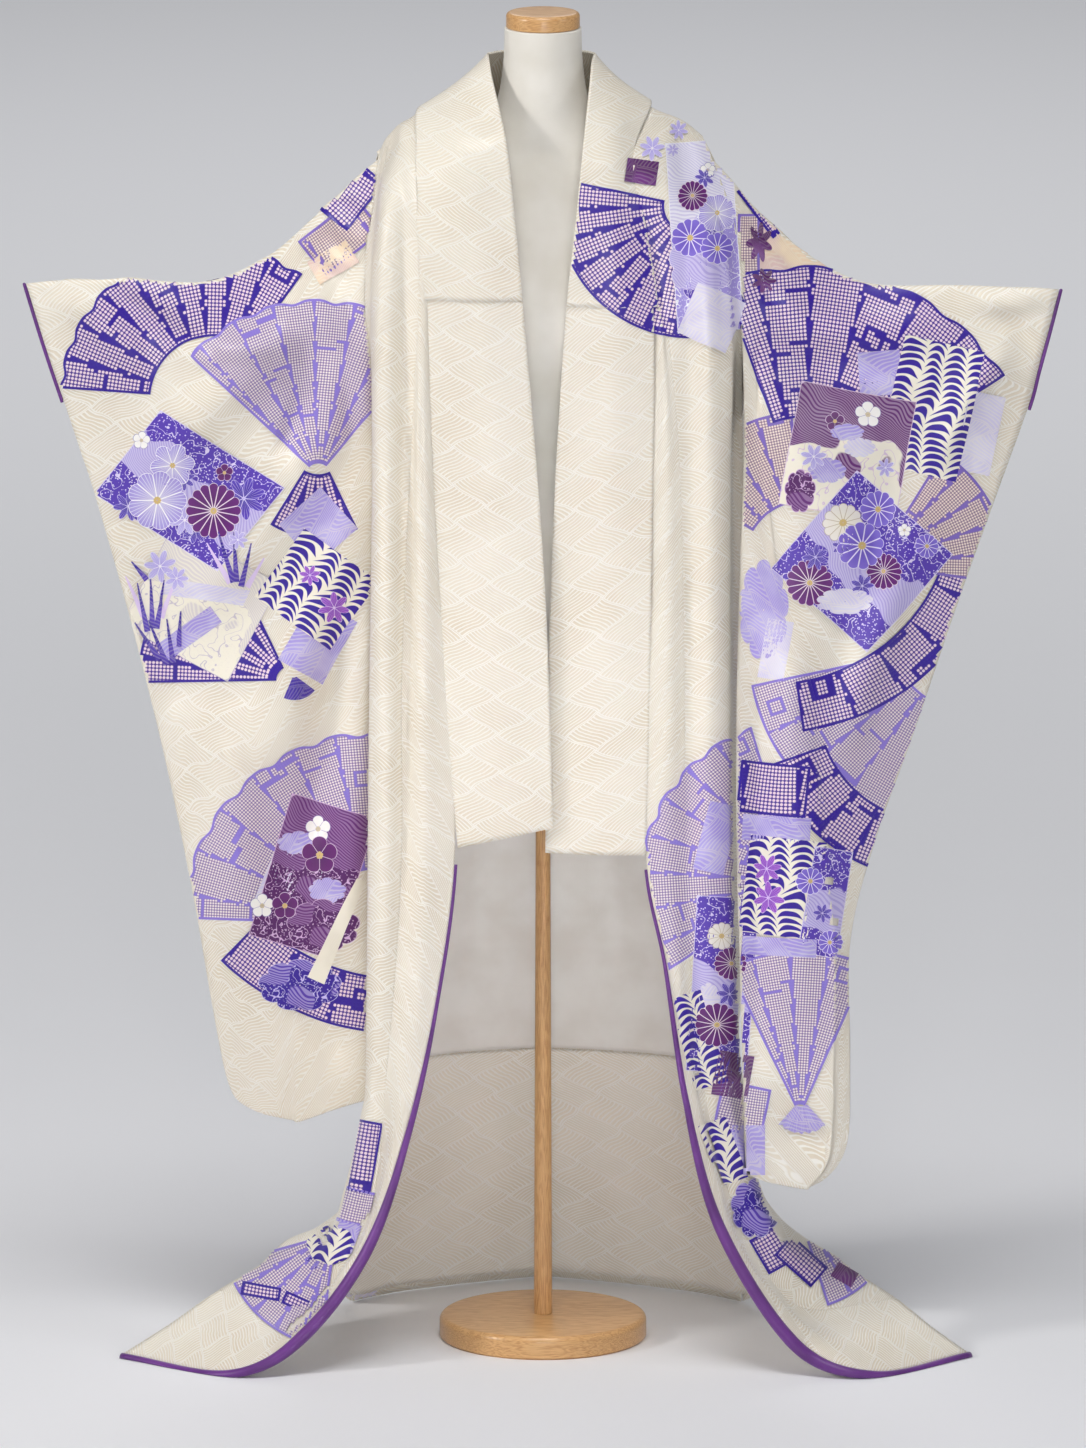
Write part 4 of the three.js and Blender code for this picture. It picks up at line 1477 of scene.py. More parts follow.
PRINTS = (
    DotPrint("dots_indigo", INDIGO, (82, 44, 150), (240, 220, 230)),
    DotPrint("dots_lavender", (142, 122, 216), (140, 116, 170), (238, 226, 228),
             bar_half=0.0008, pitch=0.0035),
    DotPrint("dots_blush", (128, 104, 196), (146, 118, 142), (240, 222, 214),
             bar_half=0.0008, pitch=0.0035),
    WaterPrint("water_indigo", INDIGO, IVORY),
    WaterPrint("water_violet", (92, 58, 190), (240, 238, 240)),
    ScenePrint("ground_violet", (84, 54, 178), (176, 164, 222), (226, 218, 242), middle=True),
    ScenePrint("ground_indigo", INDIGO, (84, 50, 176), (206, 196, 240), speckle=0.8),
    ScenePrint("ground_plum", PLUM, (100, 34, 118), (214, 180, 220), speckle=0.8, hatch=0.3),
    ScenePrint("ground_ivory", IVORY, (236, 230, 218), (206, 196, 206), speckle=0.1,
               hatch=0.5),
    ScenePrint("ground_mist", LAVENDER, MIST, (244, 242, 250), speckle=0.5, hatch=0.7),
    PetalPrint("mum_plum", PLUM, (104, 28, 120), (240, 226, 236), 16, 0.045, 0.13),
    PetalPrint("mum_violet", VIOLET, (132, 110, 214), (238, 232, 250), 12, 0.05, 0.18),
    PetalPrint("mum_ivory", IVORY, (238, 232, 226), (196, 178, 150), 12, 0.03, 0.2),
    PetalPrint("plum_white", (246, 242, 240), (250, 248, 244), (150, 140, 190), 5, 0.012,
               0.22, (206, 190, 160)),
    PetalPrint("plum_dark", PLUM, (104, 30, 112), (226, 206, 230), 5, 0.012, 0.22),
    PetalPrint("peony_mist", MIST, LAVENDER, (250, 248, 252), 9, 0.03, 0.14, GOLD,
               streaks=0.6),
    PetalPrint("leaf_indigo", INDIGO, (92, 66, 190), (214, 206, 240), 7, 0.03, 0.0,
               INDIGO, streaks=0.5),
    PetalPrint("leaf_lavender", LAVENDER, (190, 180, 232), (244, 240, 250), 7, 0.03, 0.0,
               LAVENDER, streaks=0.5),
    PetalPrint("leaf_violet", (134, 58, 190), (160, 84, 206), (226, 206, 240), 7, 0.03, 0.0,
               (134, 58, 190), streaks=0.4),
    ScenePrint("plum_card", IVORY, (98, 30, 112), (222, 200, 222), speckle=0.0, hatch=0.35),
    SoftPrint("wash_lavender", LAVENDER, (186, 176, 230)),
    SoftPrint("wash_mist", MIST, (226, 222, 240)),
    SoftPrint("wash_peach", (240, 216, 186), (226, 196, 190)),
    SoftPrint("wash_plum", PLUM, (112, 50, 130), lines=0.12),
    SoftPrint("wash_indigo", INDIGO, (80, 50, 176), lines=0.15),
    SoftPrint("wash_ivory", IVORY, (236, 230, 214), lines=0.2),
)


# ------------------------------------------------------------------ printed shapes
# Lobes, notch and point of the blooms, by kind or by the first word of the kind.
OUTLINES = {
    "plum": (5, 0.3, 0.55),
    "leaf": (7, 0.5, 1.6),
    "wash_plum": (7, 0.5, 1.6),
    "peony": (9, 0.14, 0.6),
    "mum": (12, 0.14, 0.6),
    "mum_plum": (16, 0.14, 0.6),
    "wash": (9, 0.16, 0.5),
    "ground": (9, 0.16, 0.5),
}


@dataclass(frozen=True)
class Shape:
    """One printed shape on the flat picture plane, in millimetres right and up."""

    kind: str  # which printed finish fills it
    centre: tuple[float, float]
    layer: int = 0  # higher ones lie over lower ones
    on: str = field(default="", kw_only=True)  # word in the only cloths it may lie on

    def mesh(self, step: float) -> tuple[Net, Net, Net]:
        """Lays a grid over the shape.

        Args:
            step: How far apart its points are, in millimetres.

        Returns:
            Plane points, print coordinates and rim distances, as grids.
        """
        raise NotImplementedError(f"{self.kind} has no outline for steps of {step}")


@dataclass(frozen=True)
class Fan(Shape):
    """An open fan: a sector between two radii; its print map is angle and radius."""

    inner: float = 30
    outer: float = 150
    start: float = 30  # degrees, anticlockwise from the right
    stop: float = 150
    scallop: float = 0.0  # how far the outer edge steps in between ribs

    def mesh(self, step: float) -> tuple[Net, Net, Net]:
        """Lays a grid over the shape.

        Args:
            step: How far apart its points are, in millimetres.

        Returns:
            Plane points, print coordinates and rim distances, as grids.
        """
        arc = math.radians(self.stop - self.start)
        columns = max(int(arc * self.outer / step), 6)
        rows = max(int((self.outer - self.inner) / step), 4)
        angle = np.linspace(0, arc, columns + 1)[None, :]
        share = np.linspace(0, 1, rows + 1)[:, None]
        dip = self.scallop * (0.5 - 0.5 * np.cos(angle * math.tau / RIB_ANGLE)) ** 2
        outer = self.outer - dip
        radius = self.inner + (outer - self.inner) * share
        turned = angle + math.radians(self.start)
        x = self.centre[0] + radius * np.cos(turned)
        y = self.centre[1] + radius * np.sin(turned)
        rim = np.minimum(np.minimum(angle, arc - angle) * radius,
                         np.minimum(radius - self.inner, outer - radius))
        flat = np.dstack(np.broadcast_arrays(angle, radius * MM))
        return np.dstack([x, y]), flat, rim * MM


@dataclass(frozen=True)
class Card(Shape):
    """A square or oblong card; its print map is its own width and height."""

    size: tuple[float, float] = (100, 100)
    turn: float = 0  # degrees anticlockwise
    lean: float = 0.0  # how far the top edge slides along, as a share of the height
    taper: float = 0.0  # how much narrower the top is, as a share
    spread: float = 0.13  # place among a wide fan's ribs where the kind has them
    fan_radius: float = 0.3  # radius of that fan, in metres

    def mesh(self, step: float) -> tuple[Net, Net, Net]:
        """Lays a grid over the shape.

        Args:
            step: How far apart its points are, in millimetres.

        Returns:
            Plane points, print coordinates and rim distances, as grids.
        """
        wide, tall = self.size
        u = np.linspace(-0.5, 0.5, max(int(wide / step), 4) + 1)[None, :] * wide
        v = np.linspace(-0.5, 0.5, max(int(tall / step), 4) + 1)[:, None] * tall
        u, v = np.broadcast_arrays(u, v)
        along = u * (1 - self.taper * (v / tall + 0.5)) + self.lean * v
        a = math.radians(self.turn)
        x = self.centre[0] + along * math.cos(a) - v * math.sin(a)
        y = self.centre[1] + along * math.sin(a) + v * math.cos(a)
        rim = np.minimum(wide / 2 - np.abs(u), tall / 2 - np.abs(v))
        flat = np.dstack([u, v]) * MM
        if self.kind.startswith("dots"):  # as a piece of a wide fan, ribs and all
            flat = np.dstack([self.spread + u * MM / self.fan_radius, self.fan_radius + v * MM])
        return np.dstack([x, y]), flat, rim * MM


@dataclass(frozen=True)
class Bloom(Shape):
    """A round shape with lobes, for flowers, clouds and leaves; its map is polar."""

    size: float = 25
    lobes: int = 5
    notch: float = 0.16  # how deep the edge goes in between lobes
    point: float = 1.0  # above 1 sharpens the lobes, below 1 rounds them
    turn: float = 0
    squash: tuple[float, float] = (1.0, 1.0)
    heart: float = 0.02  # share of the radius where the grid starts

    def mesh(self, step: float) -> tuple[Net, Net, Net]:
        """Lays a grid over the shape.

        Args:
            step: How far apart its points are, in millimetres.

        Returns:
            Plane points, print coordinates and rim distances, as grids.
        """
        columns = max(int(math.tau * self.size / step), 10 * self.lobes)
        rows = max(int(self.size / step), 3)
        angle = np.linspace(0, math.tau, columns + 1)[None, :]
        share = np.linspace(self.heart, 1, rows + 1)[:, None]
        lobe = np.abs(np.cos(angle * self.lobes / 2)) ** self.point
        edge = self.size * (1 - self.notch * (1 - lobe))
        radius = edge * share
        turned = angle + math.radians(self.turn)
        x = self.centre[0] + radius * np.cos(turned) * self.squash[0]
        y = self.centre[1] + radius * np.sin(turned) * self.squash[1]
        flat = np.dstack(np.broadcast_arrays(angle, share))
        if self.kind.startswith(("ground", "wash", "water")):
            flat = np.dstack([x - self.centre[0], y - self.centre[1]]) * MM
        return np.dstack([x, y]), flat, (edge - radius) * MM


def bloom(kind: str, centre: tuple[float, float], layer: int, size: float, turn: float = 0,
          squash: tuple[float, float] = (1.0, 1.0)) -> Bloom:
    """Makes a bloom with the outline that goes with its kind.

    Args:
        kind: Which printed finish fills it.
        centre: Its middle.
        layer: Higher ones lie over lower ones.
        size: Its radius.
        turn: How far it is turned, in degrees anticlockwise.
        squash: What its width and height are multiplied by.

    Returns:
        The bloom.
    """
    lobes, notch, point = OUTLINES.get(kind) or OUTLINES[kind.split("_")[0]]
    return Bloom(kind, centre, layer, size, lobes, notch, point, turn, squash)


def blade(kind: str, centre: tuple[float, float], layer: int, tall: float,
          turn: float) -> Card:
    """Makes a blade of grass.

    Args:
        kind: Which printed finish fills it.
        centre: Its middle.
        layer: Higher ones lie over lower ones.
        tall: Its length.
        turn: How far it is turned, in degrees anticlockwise.

    Returns:
        A narrow card that tapers upward.
    """
    return Card(kind, centre, layer, (8, tall), turn, taper=0.8)


def on_sleeve(shapes: tuple[Shape, ...]) -> list[Shape]:
    """Returns the same shapes, kept to the sleeves' cloths."""
    return [replace(shape, on="sleeve") for shape in shapes]


@dataclass(frozen=True)
class Patch:
    """The part of a printed shape that lies on one cloth, point by point."""

    kind: str
    points: Net
    normals: Net
    cloth: Net  # place on the cloth's flat map
    own: Net  # place on the shape's own map
    rim: Net
    faces: Net


@dataclass
class Printer:
    """Lays printed shapes on the outermost cloth, the way they are looked at."""

    cloths: list[bpy.types.Object]
    finishes: dict[str, bpy.types.Material]
    step: float = field(default_factory=lambda: 4.6)  # millimetres
    fewest: int = 12  # a smaller scrap of a shape on a cloth is left out
    stretch: float = 3.6  # a face this many steps long has slipped to another fold
    squarely: float = 0.12  # cloth that faces the eye less than this is left bare
    eye_height: float = 0.7988  # of the point that the eye looks at
    eye_far: float = 22.0
    points: Net = field(init=False)
    normals: Net = field(init=False)
    flats: Net = field(init=False)
    corners: Net = field(init=False)
    owner: Net = field(init=False)
    tree: BVHTree = field(init=False)

    def __post_init__(self) -> None:
        """Collects every cloth's triangles into one search tree."""
        points, normals, flats, corners, owner = [], [], [], [], []
        count = 0
        for number, cloth in enumerate(self.cloths):
            mesh = cloth.data
            mesh.calc_loop_triangles()
            flat = np.zeros((len(mesh.vertices), 2))
            flat[read(mesh.loops, "vertex_index", kind=int)] = read(
                mesh.uv_layers["Cloth"].data, "uv", 2)
            tris = read(mesh.loop_triangles, "vertices", 3, int)
            points.append(read(mesh.vertices, "co", 3))
            normals.append(read(mesh.vertices, "normal", 3))
            flats.append(flat)
            corners.append(tris + count)
            owner.append(np.full(len(tris), number))
            count += len(flat)
        self.points, self.normals = np.vstack(points), np.vstack(normals)
        self.flats, self.corners = np.vstack(flats), np.vstack(corners)
        self.owner = np.concatenate(owner)
        self.tree = BVHTree.FromPolygons(self.points.tolist(), self.corners.tolist())

    def sight(self, x: float, up: float, front: bool) -> tuple[Vector, Vector]:
        """Draws the line of sight through a place.

        Args:
            x: Place to the right on the picture plane, in metres.
            up: Place up on it.
            front: True to look from the front as the camera does, False from behind.

        Returns:
            The start and the direction.
        """
        if not front:
            return Vector((x, 3, up)), Vector((0, -1, 0))
        tilt = VIEW_TILT
        target = Vector((x, up * math.sin(tilt), up * math.cos(tilt)))
        middle, far = self.eye_height, self.eye_far
        eye = Vector((0, middle * math.sin(tilt) - far * math.cos(tilt),
                      middle * math.cos(tilt) + far * math.sin(tilt)))
        return eye, (target - eye).normalized()

    def cast(self, plane: Net, lift: float, front: bool) -> tuple[Net, ...]:
        """Finds where each plane point lands on the cloth.

        Args:
            plane: Points of the picture plane, (n, 2), in millimetres.
            lift: How far the print stands off the middle of the cloth, in metres.
            front: Which way it is looked at.

        Returns:
            Points, normals, flat cloth places, the cloth's number or -1, and how squarely
            the cloth faces the line of sight, from 0 to 1.
        """
        size = len(plane)
        hits, tris = np.zeros((size, 3)), np.full(size, -1)
        toward = np.zeros((size, 3))
        for k, (x, up) in enumerate(plane * MM):
            start, line = self.sight(x, up, front)
            hit, _, index, _ = self.tree.ray_cast(start, line)
            if hit is not None:
                hits[k], tris[k] = hit, index
                toward[k] = line
        found = tris >= 0
        corners = self.corners[tris]
        a, b, c = (self.points[corners[:, k]] for k in range(3))
        n = np.cross(b - a, c - a)
        area = np.maximum(np.sum(n * n, axis=1), 1e-30)
        wb = np.sum(np.cross(hits - a, c - a) * n, axis=1) / area
        wc = np.sum(np.cross(b - a, hits - a) * n, axis=1) / area
        weight = np.stack([1 - wb - wc, wb, wc], 1)[:, :, None]
        out = np.sum(weight * self.normals[corners], axis=1)
        out /= np.maximum(np.linalg.norm(out, axis=1, keepdims=True), 1e-12)
        facing = np.sum(out * toward, axis=1)
        out *= np.where(facing > 0, -1.0, 1.0)[:, None]
        flat = np.sum(weight * self.flats[corners], axis=1)
        return (hits + out * lift, out, flat, np.where(found, self.owner[tris], -1),
                np.abs(facing))

    def lay(self, shapes: list[Shape], front: bool, word: str) -> list[bpy.types.Object]:
        """Makes one printed layer on each cloth that the shapes touch.

        Args:
            shapes: The shapes, each in its own layer.
            front: Which way they are looked at.
            word: Word that the layers' names start with.

        Returns:
            The printed layers.
        """
        patches: dict[int, list[Patch]] = {}
        for order, shape in enumerate(shapes):
            plane, own, rim = shape.mesh(self.step)
            rows, columns = plane.shape[:2]
            above = shape.layer + order % SUB_LAYERS / (SUB_LAYERS + 1)
            lift = HALF_SILK + PRINT_LIFT + above * LAYER_LIFT
            where, normal, flat, owner, facing = self.cast(plane.reshape(-1, 2), lift, front)
            index = np.arange(rows * columns).reshape(rows, columns)
            quads = np.stack([index[:-1, :-1], index[:-1, 1:], index[1:, 1:],
                              index[1:, :-1]], -1).reshape(-1, 4)
            owners = owner[quads]
            spans = np.linalg.norm(where[quads] - where[np.roll(quads, 1, axis=1)], axis=2)
            allowed = np.array([shape.on in cloth.name for cloth in self.cloths])
            good = (owners >= 0).all(axis=1) & allowed[owners].all(axis=1)
            good &= spans.max(axis=1) < self.stretch * self.step * MM
            good &= (facing[quads] > self.squarely).all(axis=1)
            for number in np.unique(owners[good][:, 0]) if good.any() else ():
                mine = quads[good & (owners[:, 0] == number)]
                if len(mine) < self.fewest:
                    continue
                a, b, c = (where[mine[:, k]] for k in range(3))
                turned = np.sum(np.cross(b - a, c - b) * normal[mine[:, 0]], axis=1) < 0
                mine[turned] = mine[turned][:, ::-1]
                used, inverse = np.unique(mine, return_inverse=True)
                patches.setdefault(int(number), []).append(Patch(
                    shape.kind, where[used], normal[used], flat[used],
                    own.reshape(-1, 2)[used], rim.reshape(-1)[used], inverse.reshape(-1, 4)))
        return [self.join(number, found, word) for number, found in patches.items()]

    def join(self, number: int, found: list[Patch], word: str) -> bpy.types.Object:
        """Joins the printed patches of one cloth into one object.

        Args:
            number: Number of the cloth.
            found: Its patches.
            word: Word that the object's name starts with.

        Returns:
            The printed layer.
        """
        cloth = self.cloths[number].name
        mesh = bpy.data.meshes.new(f"{word}_{cloth}")
        kinds = sorted({patch.kind for patch in found})
        starts = np.cumsum([0] + [len(patch.points) for patch in found])
        where = np.vstack([patch.points for patch in found])
        faces = np.vstack([patch.faces + start for patch, start in zip(found, starts)])
        mesh.from_pydata(where.tolist(), [], faces.tolist())
        corner = read(mesh.loops, "vertex_index", kind=int)
        for name, places in (("Cloth", np.vstack([patch.cloth for patch in found])),
                             ("Print", np.vstack([patch.own for patch in found]))):
            mesh.uv_layers.new(name=name).data.foreach_set("uv", places[corner].ravel())
        rim = mesh.attributes.new("Rim", "FLOAT", "POINT")
        rim.data.foreach_set("value", np.concatenate([patch.rim for patch in found]))
        piece = bpy.data.objects.new(mesh.name, mesh)
        bpy.context.scene.collection.objects.link(piece)
        for kind in kinds:
            mesh.materials.append(self.finishes[kind])
        slots = np.concatenate([np.full(len(patch.faces), kinds.index(patch.kind))
                                for patch in found])
        mesh.polygons.foreach_set("material_index", slots)
        mesh.polygons.foreach_set("use_smooth", [True] * len(mesh.polygons))
        mesh.update()
        mesh.normals_split_custom_set_from_vertices(
            np.vstack([patch.normals for patch in found]).tolist())
        return piece


# ------------------------------------------------------------------ the layout
LEFT_SLEEVE_PRINTS: tuple[Shape, ...] = (
    # left sleeve, upper
    Fan("dots_indigo", (-432, 1224), 0, 81, 201, 54, 176, 5),
    Fan("dots_lavender", (-294, 1124), 1, 16, 230, 50, 137, 5),
    Fan("dots_indigo", (-294, 1160), 0, 34, 118, 238, 296),
    Card("wash_lavender", (-294, 1058), 1, (73, 73), 42),
    Card("ground_violet", (-462, 1104), 3, (191, 139), -32, 0.12),
    bloom("plum_white", (-524, 1170), 4, 12, 10),
    Bloom("peony_mist", (-484, 1138), 4, 29, 6, 0.34, 0.7, 8),
    bloom("peony_mist", (-504, 1092), 4, 39),
    bloom("leaf_indigo", (-542, 1084), 4, 20, 30),
    bloom("leaf_indigo", (-470, 1120), 4, 16, 70),
    bloom("leaf_indigo", (-390, 1094), 4, 29, 20),
    bloom("leaf_indigo", (-454, 1052), 4, 18),
    bloom("mum_plum", (-430, 1078), 5, 37),
    bloom("plum_dark", (-416, 1128), 4, 12, 18),
    bloom("leaf_lavender", (-468, 1066), 4, 21, 40),
    # left sleeve, grass card, water card and lower fan
    Fan("dots_indigo", (-330, 856), 0, 18, 200, 116, 181),
    Card("ground_ivory", (-448, 956), 2, (159, 146), -28),
    blade("leaf_violet", (-534, 966), 4, 58, 24),
    blade("wash_indigo", (-524, 952), 6, 65, 12),
    blade("wash_indigo", (-512, 960), 4, 71, 2),
    blade("wash_indigo", (-500, 956), 6, 65, -10),
    blade("leaf_violet", (-488, 966), 4, 60, -22),
    blade("wash_indigo", (-518, 908), 6, 58, 34),
    blade("wash_indigo", (-504, 906), 4, 63, 22),
    blade("wash_indigo", (-488, 908), 6, 58, 8),
    blade("leaf_violet", (-424, 1010), 4, 60, 30),
    blade("wash_indigo", (-414, 1018), 6, 68, 16),
    blade("wash_indigo", (-402, 1018), 4, 65, 2),
    blade("wash_indigo", (-388, 1008), 6, 58, -14),
    blade("leaf_violet", (-376, 998), 4, 44, -30),
    blade("wash_indigo", (-474, 924), 6, 47, -4),
    blade("wash_indigo", (-528, 1000), 4, 31, 40),
    bloom("leaf_lavender", (-500, 1006), 5, 22, 20),
    bloom("leaf_lavender", (-478, 990), 5, 16, 50),
    bloom("leaf_lavender", (-398, 1040), 5, 13),
    Card("wash_mist", (-442, 972), 3, (110, 21), -8, 0.3),
    Card("wash_lavender", (-462, 918), 3, (86, 26), 36),
    Card("wash_lavender", (-294, 908), 1, (65, 94), -30),
    Card("water_indigo", (-296, 976), 3, (120, 110), -36),
    bloom("leaf_violet", (-304, 994), 5, 14, 15),
    bloom("leaf_violet", (-274, 952), 5, 21, 40),
    Fan("wash_indigo", (-326, 864), 4, 4, 33, 248, 322),
    # left sleeve, lower
    Fan("dots_lavender", (-220, 536), 0, 73, 254, 88, 178, 6),
    Fan("dots_indigo", (-184, 736), 0, 269, 342, 226, 270),
    bloom("ground_indigo", (-318, 458), 1, 55, 10, (1.0, 0.62)),
    Card("ground_plum", (-302, 600), 3, (115, 193), -17),
    bloom("plum_white", (-294, 662), 4, 18, 18),
    bloom("plum_dark", (-292, 628), 5, 25, 18),
    bloom("plum_white", (-368, 562), 4, 16, 18),
    bloom("plum_dark", (-338, 562), 5, 18, 18),
    bloom("wash_lavender", (-320, 644), 4, 22, 10, (1.3, 0.7)),
    bloom("wash_lavender", (-282, 582), 4, 21, 10, (1.2, 0.8)),
    Card("wash_mist", (-330, 594), 3, (71, 78), -17, 0.1),
    bloom("ground_plum", (-288, 536), 4, 44, 10, (1.1, 0.8)),
    Card("wash_ivory", (-268, 530), 5, (24, 144), -24, 0, 0.5),
)

SHOULDER_PRINTS: tuple[Shape, ...] = (
    # left shoulder
    Card("dots_blush", (-264, 1436), 0, (97, 58), 38),
    Card("dots_indigo", (-248, 1488), 2, (81, 44), 52),
    Card("wash_peach", (-274, 1402), 1, (60, 34), 30),
    # right shoulder
    Fan("dots_indigo", (192, 1476), 0, 34, 173, 168, 300),
    Card("wash_plum", (128, 1520), 2, (42, 31), -8),
    bloom("leaf_lavender", (142, 1550), 2, 17, 10),
    bloom("leaf_lavender", (176, 1574), 2, 13, 40),
    bloom("leaf_lavender", (168, 1548), 2, 9, 70),
    Card("ground_mist", (210, 1436), 1, (86, 248), 4),
    bloom("ground_violet", (206, 1402), 2, 44, 10, (0.95, 1.15)),
    bloom("mum_plum", (194, 1488), 4, 20),
    bloom("peony_mist", (226, 1466), 3, 25),
    bloom("mum_violet", (192, 1434), 3, 25, 10),
    bloom("mum_violet", (226, 1420), 4, 21),
    bloom("plum_white", (214, 1522), 3, 10, 18),
    bloom("leaf_indigo", (210, 1512), 3, 13, 20),
    Card("wash_mist", (220, 1330), 3, (68, 71), -24),
)

RIGHT_SLEEVE_PRINTS: tuple[Shape, ...] = (
    # right sleeve, upper
    Card("wash_peach", (312, 1410), 0, (110, 60), -34),
    Card("dots_blush", (268, 1406), 1, (29, 118), 0),
    bloom("wash_plum", (282, 1428), 2, 22, 30, (0.8, 1.2)),
    bloom("wash_plum", (288, 1378), 2, 17),
    Card("wash_plum", (254, 1510), 1, (13, 60), 28),
    Card("dots_indigo", (282, 1468), 1, (16, 78), 38),
    Fan("dots_indigo", (340, 1084), 1, 115, 314, 33, 110, 5),
    Fan("dots_blush", (342, 1012), 0, 78, 196, 95, 150),
    Card("wash_lavender", (440, 1258), 2, (55, 58), 4),
    Card("wash_mist", (568, 1180), 2, (52, 105), -12),
    Card("water_indigo", (506, 1212), 3, (107, 173), -13),
    Card("plum_card", (398, 1154), 4, (154, 162), -10),
    bloom("plum_white", (424, 1204), 5, 18, 18),
    bloom("plum_dark", (380, 1194), 5, 13, 18),
    bloom("wash_lavender", (396, 1180), 5, 16, 10, (1.4, 0.7)),
    bloom("leaf_lavender", (352, 1148), 5, 17, 10),
    bloom("leaf_lavender", (446, 1134), 5, 13, 30),
    bloom("wash_mist", (412, 1160), 5, 16, 10, (1.3, 0.8)),
    bloom("wash_lavender", (370, 1130), 5, 21, 10, (1.2, 0.8)),
    bloom("ground_plum", (336, 1104), 5, 22, 10, (0.9, 1.3)),
    Fan("dots_blush", (430, 1006), 2, 44, 175, -8, 58),
    Card("ground_violet", (416, 1012), 6, (167, 170), -41),
    bloom("mum_ivory", (390, 1062), 7, 25),
    bloom("mum_violet", (436, 1080), 7, 25),
    bloom("mum_violet", (414, 1032), 8, 31, 6),
    bloom("mum_plum", (348, 984), 7, 31),
    bloom("mum_plum", (444, 998), 7, 24),
    bloom("leaf_indigo", (356, 1018), 7, 18, 30),
    bloom("leaf_indigo", (416, 980), 7, 16),
    bloom("leaf_indigo", (390, 1032), 7, 13, 60),
    bloom("wash_mist", (394, 960), 7, 29, 10, (1.3, 0.6)),
    bloom("mum_violet", (500, 1032), 7, 16),
    bloom("plum_white", (472, 1052), 8, 9, 18),
    # right sleeve, middle
    Fan("dots_indigo", (296, 1092), 1, 240, 306, -82, -18),
    bloom("wash_lavender", (288, 948), 0, 44, 10, (0.75, 1.5)),
    Card("wash_mist", (304, 896), 0, (34, 78), -10),
    Fan("dots_lavender", (546, 908), 0, 86, 280, 192, 266),
    Fan("dots_indigo", (512, 824), 1, 152, 230, 200, 262),
    Card("dots_indigo", (300, 714), 2, (91, 68), -6),
    Card("wash_lavender", (304, 662), 2, (89, 34), -4),
    Card("water_indigo", (312, 586), 3, (99, 128), -7),
    bloom("leaf_violet", (294, 610), 4, 20, 10),
    bloom("leaf_violet", (296, 572), 4, 22, 40),
    Card("ground_violet", (368, 566), 3, (50, 141), -9),
    bloom("mum_violet", (348, 594), 5, 18),
    bloom("mum_violet", (374, 514), 5, 16),
    bloom("leaf_indigo", (364, 552), 5, 13, 20),
    Card("wash_lavender", (308, 508), 3, (97, 24), -3),
    # right sleeve, lower
    Fan("dots_lavender", (336, 286), 2, 16, 217, 66, 116),
    Fan("wash_lavender", (338, 310), 3, 10, 47, 228, 312, 4),
)

BODY_PRINTS: tuple[Shape, ...] = (
    # right body
    Fan("dots_lavender", (338, 594), 0, 52, 212, 108, 214, 6),
    Card("wash_lavender", (226, 650), 1, (39, 91), -14),
    Card("ground_violet", (234, 458), 1, (81, 230), -4),
    bloom("mum_plum", (244, 486), 3, 22),
    bloom("mum_plum", (226, 406), 3, 29),
    bloom("leaf_indigo", (242, 446), 2, 17, 20),
    bloom("mum_ivory", (232, 522), 2, 18),
    bloom("wash_mist", (216, 438), 2, 18, 10, (0.8, 1.3)),
    Card("water_indigo", (202, 386), 2, (44, 125), 16),
    Card("wash_plum", (248, 340), 2, (47, 58), -10),
    Card("dots_lavender", (260, 296), 1, (65, 65), -12),
    Card("water_indigo", (234, 240), 2, (39, 84), 20),
    Card("wash_lavender", (268, 242), 1, (44, 65), 0),
    bloom("ground_indigo", (276, 166), 2, 33, 10, (1.0, 1.2)),
    Card("dots_indigo", (300, 112), 1, (44, 52), 30),
    # right hem
    Fan("dots_lavender", (326, 176), 1, 44, 146, -72, 14),
    Card("dots_indigo", (336, 96), 2, (34, 65), 48),
    Card("wash_plum", (396, 82), 2, (31, 31), -30),
    # left hem
    Card("dots_indigo", (-236, 234), 1, (39, 94), -10),
    Card("dots_lavender", (-244, 168), 1, (52, 47), -14),
    Card("wash_lavender", (-258, 130), 1, (44, 39), -20),
    Bloom("water_indigo", (-276, 118), 2, 29, 8, 0.12, 0.6, 0, (1.1, 0.9)),
    bloom("wash_mist", (-244, 58), 2, 24, 10, (1.1, 0.8)),
    Card("ground_indigo", (-314, 96), 1, (68, 34), 24),
    Fan("dots_lavender", (-268, 134), 1, 34, 152, 196, 262),
    Card("dots_indigo", (-368, 56), 2, (52, 18), -10),
    Card("dots_indigo", (-318, 40), 2, (44, 18), -24),
)

FRONT_PRINTS = (*on_sleeve(LEFT_SLEEVE_PRINTS), *SHOULDER_PRINTS,
                *on_sleeve(RIGHT_SLEEVE_PRINTS), *BODY_PRINTS)

